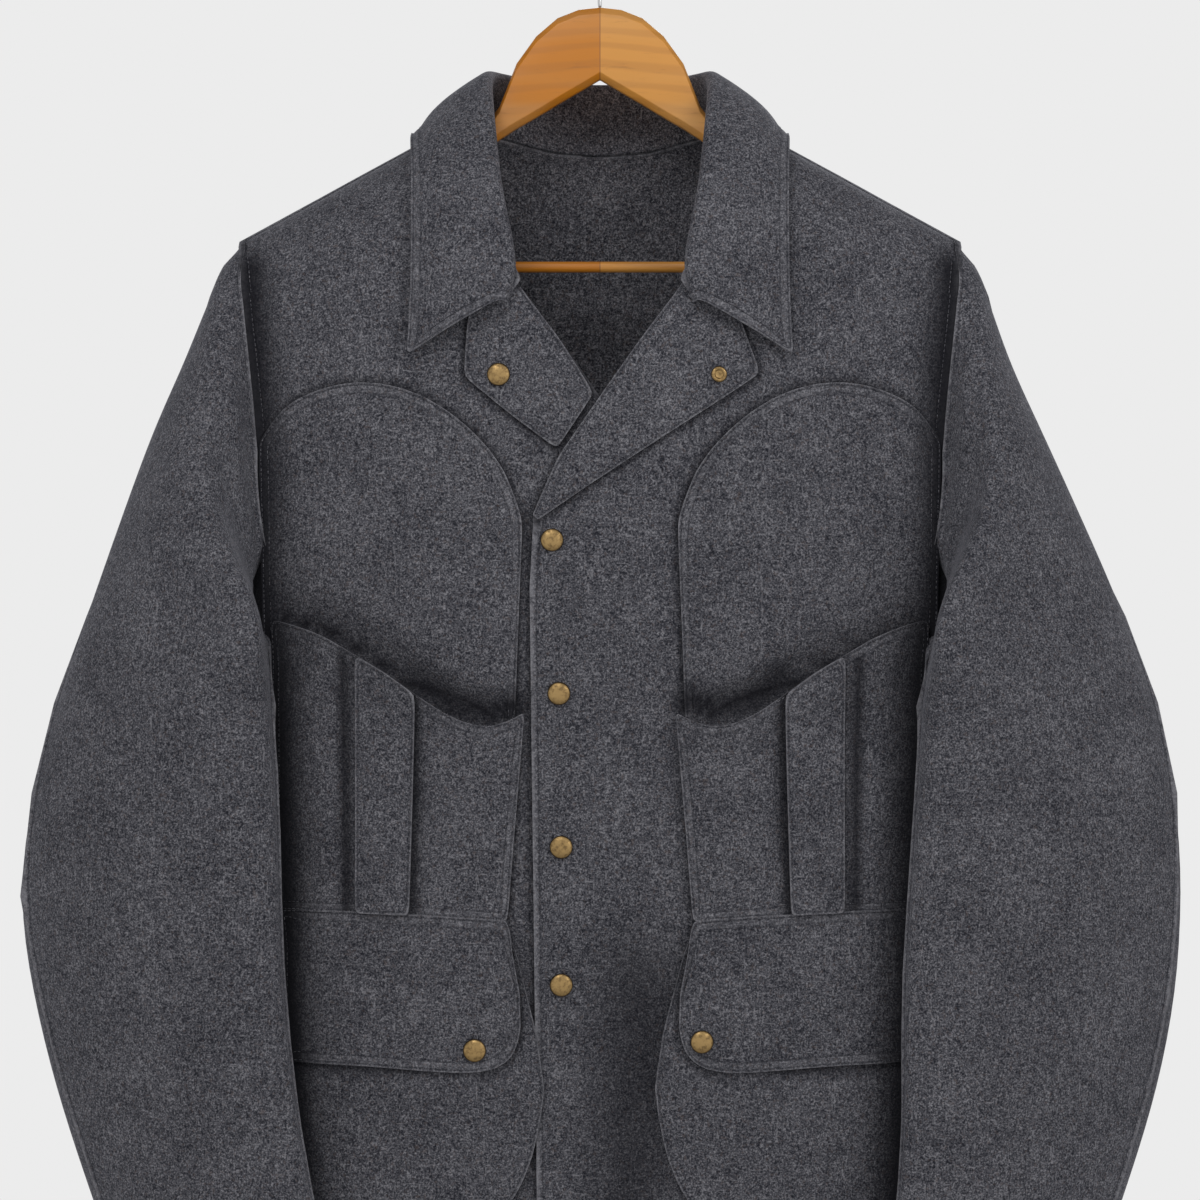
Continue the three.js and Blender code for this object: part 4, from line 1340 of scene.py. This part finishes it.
def heather_group() -> bpy.types.NodeTree:
    """Makes the shared pattern of the felted wool, with its painted shade and painted highlight.

    Returns:
        Group with a colour and a height.
    """
    nodes, given, result = new_group(
        "heather",
        [("Vector", "NodeSocketVector"), ("Edge", "NodeSocketFloat"), ("Groove", "NodeSocketFloat"),
         ("Painted_shade", "NodeSocketFloat")],
        [("Color", "NodeSocketColor"), ("Height", "NodeSocketFloat")],
    )
    vector = given.outputs["Vector"]
    fleck = nodes.noise(vector, WOOL.fleck_scale, 5.0, 0.72)
    cloud = nodes.noise(vector, WOOL.cloud_scale, 3.0, 0.6)
    patch = nodes.noise(vector, WOOL.patch_scale, 3.0, 0.55)
    along = nodes.stretch(vector, WOOL.fibre_turn, (1.0, 1.0, WOOL.fibre_stretch))
    fibre = nodes.noise(along, WOOL.fibre_scale, 3.0, 0.65)
    across = nodes.stretch(vector, WOOL.cross_turn, (WOOL.fibre_stretch, 1.0, 1.0))
    cross = nodes.noise(across, WOOL.fibre_scale, 3.0, 0.65)
    tone = nodes.maths("ADD", nodes.maths("MULTIPLY", fleck, WOOL.fleck_share),
                       nodes.maths("MULTIPLY", cloud, WOOL.cloud_share))
    tone = nodes.maths("ADD", tone, nodes.maths("MULTIPLY", patch, WOOL.patch_share))
    colour = nodes.mix(nodes.remap(tone, WOOL.middle_span), WOOL.dark, WOOL.middle)
    colour = nodes.mix(nodes.remap(tone, WOOL.light_span), colour, WOOL.light)
    hair = nodes.maths("MAXIMUM", nodes.remap(fibre, WOOL.hair_span, 0.0, WOOL.hair_share),
                       nodes.remap(cross, WOOL.hair_span, 0.0, WOOL.hair_share))
    colour = nodes.mix(hair, colour, WOOL.light)
    warm = nodes.noise(vector, WOOL.fleck_scale * WOOL.warm_scale, 2.0, 0.5)
    warm = nodes.remap(warm, WOOL.warm_span, 0.0, WOOL.warm_share)
    colour = nodes.mix(warm, colour, WOOL.warm)
    # Edges and stitch bands lightened towards the light colour: partly rubbing, partly painted highlight
    edge_wear_and_highlight = nodes.maths("MULTIPLY", nodes.remap(given.outputs["Edge"], WOOL.edge_span),
                       nodes.remap(cloud, WOOL.wear_and_highlight_span, WOOL.wear_and_highlight_least, WOOL.wear_and_highlight_most))
    colour = nodes.mix(edge_wear_and_highlight, colour, WOOL.light)
    # Painted shade in the stitch channels, towards the dark colour
    groove_shade = nodes.remap(given.outputs["Groove"], WOOL.groove_shade_span, 0.0, WOOL.groove_shade_share)
    colour = nodes.mix(groove_shade, colour, WOOL.dark)
    # Painted shade in folds, in pocket mouths and under the edges of pieces, towards the hollow colour
    hollow = nodes.maths("MULTIPLY", given.outputs["Painted_shade"], WOOL.painted_shade_share)
    colour = nodes.mix(hollow, colour, WOOL.hollow)
    nodes.join(colour, result.inputs["Color"])
    hairs = nodes.maths("MULTIPLY", nodes.maths("MAXIMUM", fibre, cross), WOOL.fibre_height)
    height = nodes.maths("ADD", fleck, hairs)
    nodes.join(height, result.inputs["Height"])
    return nodes.tree


def new_material(name: str) -> tuple[bpy.types.Material, NodeTree, bpy.types.Node]:
    """Starts a material.

    Args:
        name: Name of the material.

    Returns:
        The material, its tree and its shader.
    """
    material = bpy.data.materials.new(name)
    material.use_nodes = True
    nodes = NodeTree(material.node_tree)
    shader = material.node_tree.nodes["Principled BSDF"]
    return material, nodes, shader


def add_bump(nodes: NodeTree, shader: bpy.types.Node, height: Socket, strength: float,
             distance: float) -> None:
    """Adds relief to a material.

    Args:
        nodes: Tree of the material.
        shader: Shader that gets the normal.
        height: Height value.
        strength: Strength of the relief.
        distance: Height that 1 stands for, in metres.
    """
    bump = nodes.add("ShaderNodeBump")
    bump.inputs["Strength"].default_value = strength
    bump.inputs["Distance"].default_value = distance
    nodes.join(height, bump.inputs["Height"])
    nodes.join(bump.outputs["Normal"], shader.inputs["Normal"])


def wool_material(group: bpy.types.NodeTree) -> bpy.types.Material:
    """Makes the heathered wool.

    Args:
        group: Shared pattern.

    Returns:
        The material.
    """
    material, nodes, shader = new_material("heathered_wool")
    place = nodes.add("ShaderNodeTexCoord")
    pattern = nodes.add("ShaderNodeGroup", node_tree=group)
    nodes.join(place.outputs["Object"], pattern.inputs["Vector"])
    for name in ("Edge", "Groove", "Painted_shade"):
        nodes.join(nodes.attribute(name.lower()), pattern.inputs[name])
    nodes.join(pattern.outputs["Color"], shader.inputs["Base Color"])
    shader.inputs["Roughness"].default_value = WOOL.roughness
    shader.inputs["Specular IOR Level"].default_value = WOOL.specular
    shader.inputs["Sheen Weight"].default_value = WOOL.sheen
    shader.inputs["Sheen Roughness"].default_value = WOOL.sheen_roughness
    shader.inputs["Sheen Tint"].default_value = (*WOOL.sheen_tint, 1.0)
    add_bump(nodes, shader, pattern.outputs["Height"], WOOL.bump, WOOL.bump_distance)
    return material


def metal_material(name: str, finish: MetalFinish) -> bpy.types.Material:
    """Makes a mottled metal.

    Args:
        name: Name of the material.
        finish: Its look.

    Returns:
        The material.
    """
    material, nodes, shader = new_material(name)
    place = nodes.add("ShaderNodeTexCoord").outputs["Object"]
    mottle = nodes.noise(place, finish.mottle_scale, 4.0, 0.6)
    stain = nodes.remap(mottle, finish.stain_span, 0.0, finish.stain_share)
    dark = nodes.maths("MAXIMUM", stain, nodes.attribute("rim"))
    nodes.join(nodes.mix(dark, finish.base, finish.tarnish), shader.inputs["Base Color"])
    rough = nodes.remap(mottle, finish.wear_span, finish.roughness, finish.worn_roughness)
    nodes.join(rough, shader.inputs["Roughness"])
    shader.inputs["Metallic"].default_value = 1.0
    add_bump(nodes, shader, mottle, finish.bump, finish.bump_distance)
    return material


def wood_material() -> bpy.types.Material:
    """Makes the lacquered wood, whose grain follows each arm from the mitre.

    Returns:
        The material.
    """
    material, nodes, shader = new_material("lacquered_wood")
    place = nodes.add("ShaderNodeTexCoord").outputs["Object"]
    split = nodes.add("ShaderNodeSeparateXYZ")
    nodes.join(place, split.inputs["Vector"])
    across = nodes.maths("ABSOLUTE", split.outputs["X"], 0.0)
    joined = nodes.add("ShaderNodeCombineXYZ")
    nodes.join(across, joined.inputs["X"])
    nodes.join(split.outputs["Y"], joined.inputs["Y"])
    nodes.join(split.outputs["Z"], joined.inputs["Z"])
    arm = nodes.stretch(joined.outputs["Vector"], (0, -WOOD.slope_degrees, 0), (WOOD.along, 1.0, 1.0))
    # Painted light and shade: the arm at -X takes the shaded colour, the arm at +X the lit one
    half = nodes.remap(split.outputs["X"], (-WOOD.lit_and_shaded_blend, WOOD.lit_and_shaded_blend))
    base = nodes.mix(half, WOOD.right, WOOD.left)
    drift = nodes.noise(arm, WOOD.ring_scale, 2.0, 0.5)
    wave = nodes.add("ShaderNodeTexWave", wave_type="BANDS", bands_direction="Z")
    wave.inputs["Scale"].default_value = WOOD.ring_scale
    wave.inputs["Distortion"].default_value = WOOD.ring_distortion
    wave.inputs["Detail"].default_value = WOOD.ring_detail
    nodes.join(arm, wave.inputs["Vector"])
    pores = nodes.noise(arm, WOOD.pore_scale, 5.0, 0.7)
    rings = nodes.remap(wave.outputs["Fac"], WOOD.ring_span, 0.0, WOOD.ring_share)
    colour = nodes.mix(rings, base, WOOD.grain)
    colour = nodes.mix(nodes.remap(drift, WOOD.drift_span, 0.0, WOOD.drift_share), colour, WOOD.pale)
    colour = nodes.mix(nodes.remap(pores, WOOD.pore_span, 0.0, WOOD.pore_share), colour, WOOD.grain)
    mitre = nodes.remap(across, WOOD.mitre_span, WOOD.mitre_share, 0.0)
    colour = nodes.mix(mitre, colour, WOOD.grain)
    nodes.join(colour, shader.inputs["Base Color"])
    gloss = nodes.remap(pores, WOOD.gloss_span, WOOD.roughness, WOOD.dull_roughness)
    nodes.join(gloss, shader.inputs["Roughness"])
    shader.inputs["Coat Weight"].default_value = WOOD.coat
    shader.inputs["Coat Roughness"].default_value = WOOD.coat_roughness
    add_bump(nodes, shader, pores, WOOD.bump, WOOD.bump_distance)
    return material


class HardPiece:
    """A hard piece: a copy of its solid with rounded or smoothed edges."""

    def __init__(self, node: str, slot: Slot) -> None:
        """Copies the solid.

        Args:
            node: CAD node that it stands for.
            slot: Material slot of the record; kept on the piece, not used.
        """
        self.node = node
        self.slot = slot
        self.object = copy_solid(node, "finished")

    def soften(self, width: float, segments: int) -> None:
        """Rounds the piece's edges.

        Args:
            width: Width of the rounding, in metres.
            segments: Steps of the rounding.
        """
        modifier = self.object.modifiers.new("rounding", "BEVEL")
        modifier.width = width
        modifier.segments = segments
        modifier.limit_method = "ANGLE"
        modifier.angle_limit = ROUNDED_ANGLE
        activate(self.object)
        bpy.ops.object.modifier_apply(modifier=modifier.name)
        bpy.ops.object.shade_smooth_by_angle(angle=SHARP_ANGLE)

    def mark_rim(self) -> None:
        """Writes how near each point is to the rim of a round cap."""
        mesh = self.object.data
        points = coordinates(mesh)
        low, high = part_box(self.node)
        centre = (np.array(low) + np.array(high)) / 2
        radius = np.linalg.norm((points - centre)[:, (0, 2)], axis=1)
        share = radius / radius.max()
        write_values(mesh, "rim", np.clip((share - STUD_RIM_START) / STUD_RIM_SPAN, 0, 1))

    def settle(self) -> None:
        """Moves a stud with the cloth that it is fastened to."""
        mesh = self.object.data
        points = coordinates(mesh)
        middle = points.mean(axis=0)[None, :]
        write_coordinates(mesh, points + crease_shift(middle, Face.FRONT, BODY_CREASES))

    def declare(self, material: bpy.types.Material) -> None:
        """Gives the piece its material, hangs it under the root body, hides its solid and logs its faces.

        Args:
            material: Its material.
        """
        self.object.data.materials.append(material)
        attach(self.object, "root")
        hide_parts(self.node)
        log.info("%s: %d faces", self.node, len(self.object.data.polygons))


def build_cloth(wool: bpy.types.Material) -> None:
    """Makes every cloth piece with its sewing.

    Args:
        wool: Material of the cloth.
    """
    pieces: dict[str, ClothPiece] = {}
    for part in cloth_parts():
        piece = ClothPiece(part)
        piece.sew()
        subdivide(piece.object, part.levels)
        piece.fold()
        pieces[part.node] = piece
    for upper in pieces.values():
        for lower in upper.part.rests_on:
            if lower in pieces:
                pieces[lower].shade_under(upper)
    pieces["front_right"].shade_under(pieces["front_left"])
    for piece in pieces.values():
        thread = Sewing(piece).build()
        piece.declare(wool, [thread] if thread else [])
        log.info("%s: %d faces", piece.part.node, len(piece.object.data.polygons))


def build_hardware() -> None:
    """Makes the studs, the hanger and its hook."""
    brass = metal_material("antique_brass", BRASS)
    steel = metal_material("steel_wire", STEEL)
    for node in STUDS:
        stud = HardPiece(node, Slot.BRASS)
        subdivide(stud.object, ROUND_LEVELS)
        stud.mark_rim()
        stud.settle()
        stud.declare(brass)
    wood = HardPiece("hanger_frame", Slot.WOOD)
    wood.soften(WOOD_ROUNDING, WOOD_SEGMENTS)
    wood.declare(wood_material())
    hook = HardPiece("hanger_hook", Slot.STEEL)
    subdivide(hook.object, ROUND_LEVELS)
    hook.declare(steel)


@dataclass(frozen=True)
class SoftLight:
    """A soft square light.

    Attributes:
        name: Name of the light.
        place: Where it stands, in metres.
        aim: Point that it faces, in metres.
        size: Length of its sides, in metres.
        power: Power in watts.
    """

    name: str
    place: Triple
    aim: Triple
    size: float
    power: float

    def build(self) -> None:
        """Adds the light to the scene."""
        data = bpy.data.lights.new(self.name, "AREA")
        data.shape = "SQUARE"
        data.size = self.size
        data.energy = self.power
        light = link(self.name, data)
        light.location = self.place
        light.rotation_euler = (Vector(self.aim) - Vector(self.place)).to_track_quat("-Z", "Y").to_euler()


LIGHTS = (
    SoftLight("key", (-0.5, -1.7, 1.1), (0.0, 0.0, -0.5), 0.8, 14.0),
    SoftLight("fill", (1.3, -1.6, 0.5), (0.0, 0.0, -0.45), 0.9, 8.0),
    SoftLight("rim", (0.2, 1.8, 0.9), (0.0, 0.0, -0.4), 0.9, 14.0),
)


def build_world() -> None:
    """Makes the pale surroundings: bright at eye level, half as bright below and dim above."""
    world = bpy.data.worlds.new("studio")
    world.use_nodes = True
    bpy.context.scene.world = world
    nodes = NodeTree(world.node_tree)
    background = world.node_tree.nodes["Background"]
    place = nodes.add("ShaderNodeTexCoord")
    split = nodes.add("ShaderNodeSeparateXYZ")
    nodes.join(place.outputs["Generated"], split.inputs["Vector"])
    above = nodes.remap(split.outputs["Z"], (BAND_START, BAND_END))
    below = nodes.remap(split.outputs["Z"], (-BAND_END, -BAND_START), 1.0, 0.0)
    colour = nodes.mix(above, BAND_COLOUR, ABOVE_COLOUR)
    colour = nodes.mix(below, colour, BELOW_COLOUR)
    nodes.join(colour, background.inputs["Color"])
    background.inputs["Strength"].default_value = 1.0


def build_stage() -> None:
    """Makes the floor far below the jacket, the lights and the camera."""
    bpy.ops.mesh.primitive_circle_add(vertices=FLOOR_SIDES, radius=FLOOR_RADIUS, fill_type="NGON",
                                      location=(0, 0, -FLOOR_DROP))
    floor = bpy.context.active_object
    floor.name = "floor"
    material, nodes, shader = new_material("pale_floor")
    place = nodes.add("ShaderNodeTexCoord").outputs["Object"]
    tone = nodes.remap(nodes.noise(place, FLOOR_SCALE, 2.0, 0.5), (0.3, 0.7))
    nodes.join(nodes.mix(tone, FLOOR_DARK, FLOOR_LIGHT), shader.inputs["Base Color"])
    shader.inputs["Roughness"].default_value = FLOOR_ROUGHNESS
    floor.data.materials.append(material)
    for light in LIGHTS:
        light.build()
    data = bpy.data.cameras.new("camera")
    data.sensor_width = SENSOR
    data.lens = SENSOR * CAMERA_DISTANCE / FIELD
    camera = link("camera", data)
    camera.location = (0, -CAMERA_DISTANCE, CAMERA_HEIGHT)
    camera.rotation_euler = (math.radians(90), 0, 0)
    bpy.context.scene.camera = camera
    bpy.context.scene.view_settings.view_transform = "Standard"
    bpy.context.scene.view_settings.look = "None"


def main() -> None:
    """Builds the whole scene."""
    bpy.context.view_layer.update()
    build_cloth(wool_material(heather_group()))
    build_hardware()
    build_world()
    build_stage()


if __name__ == "__main__":
    main()
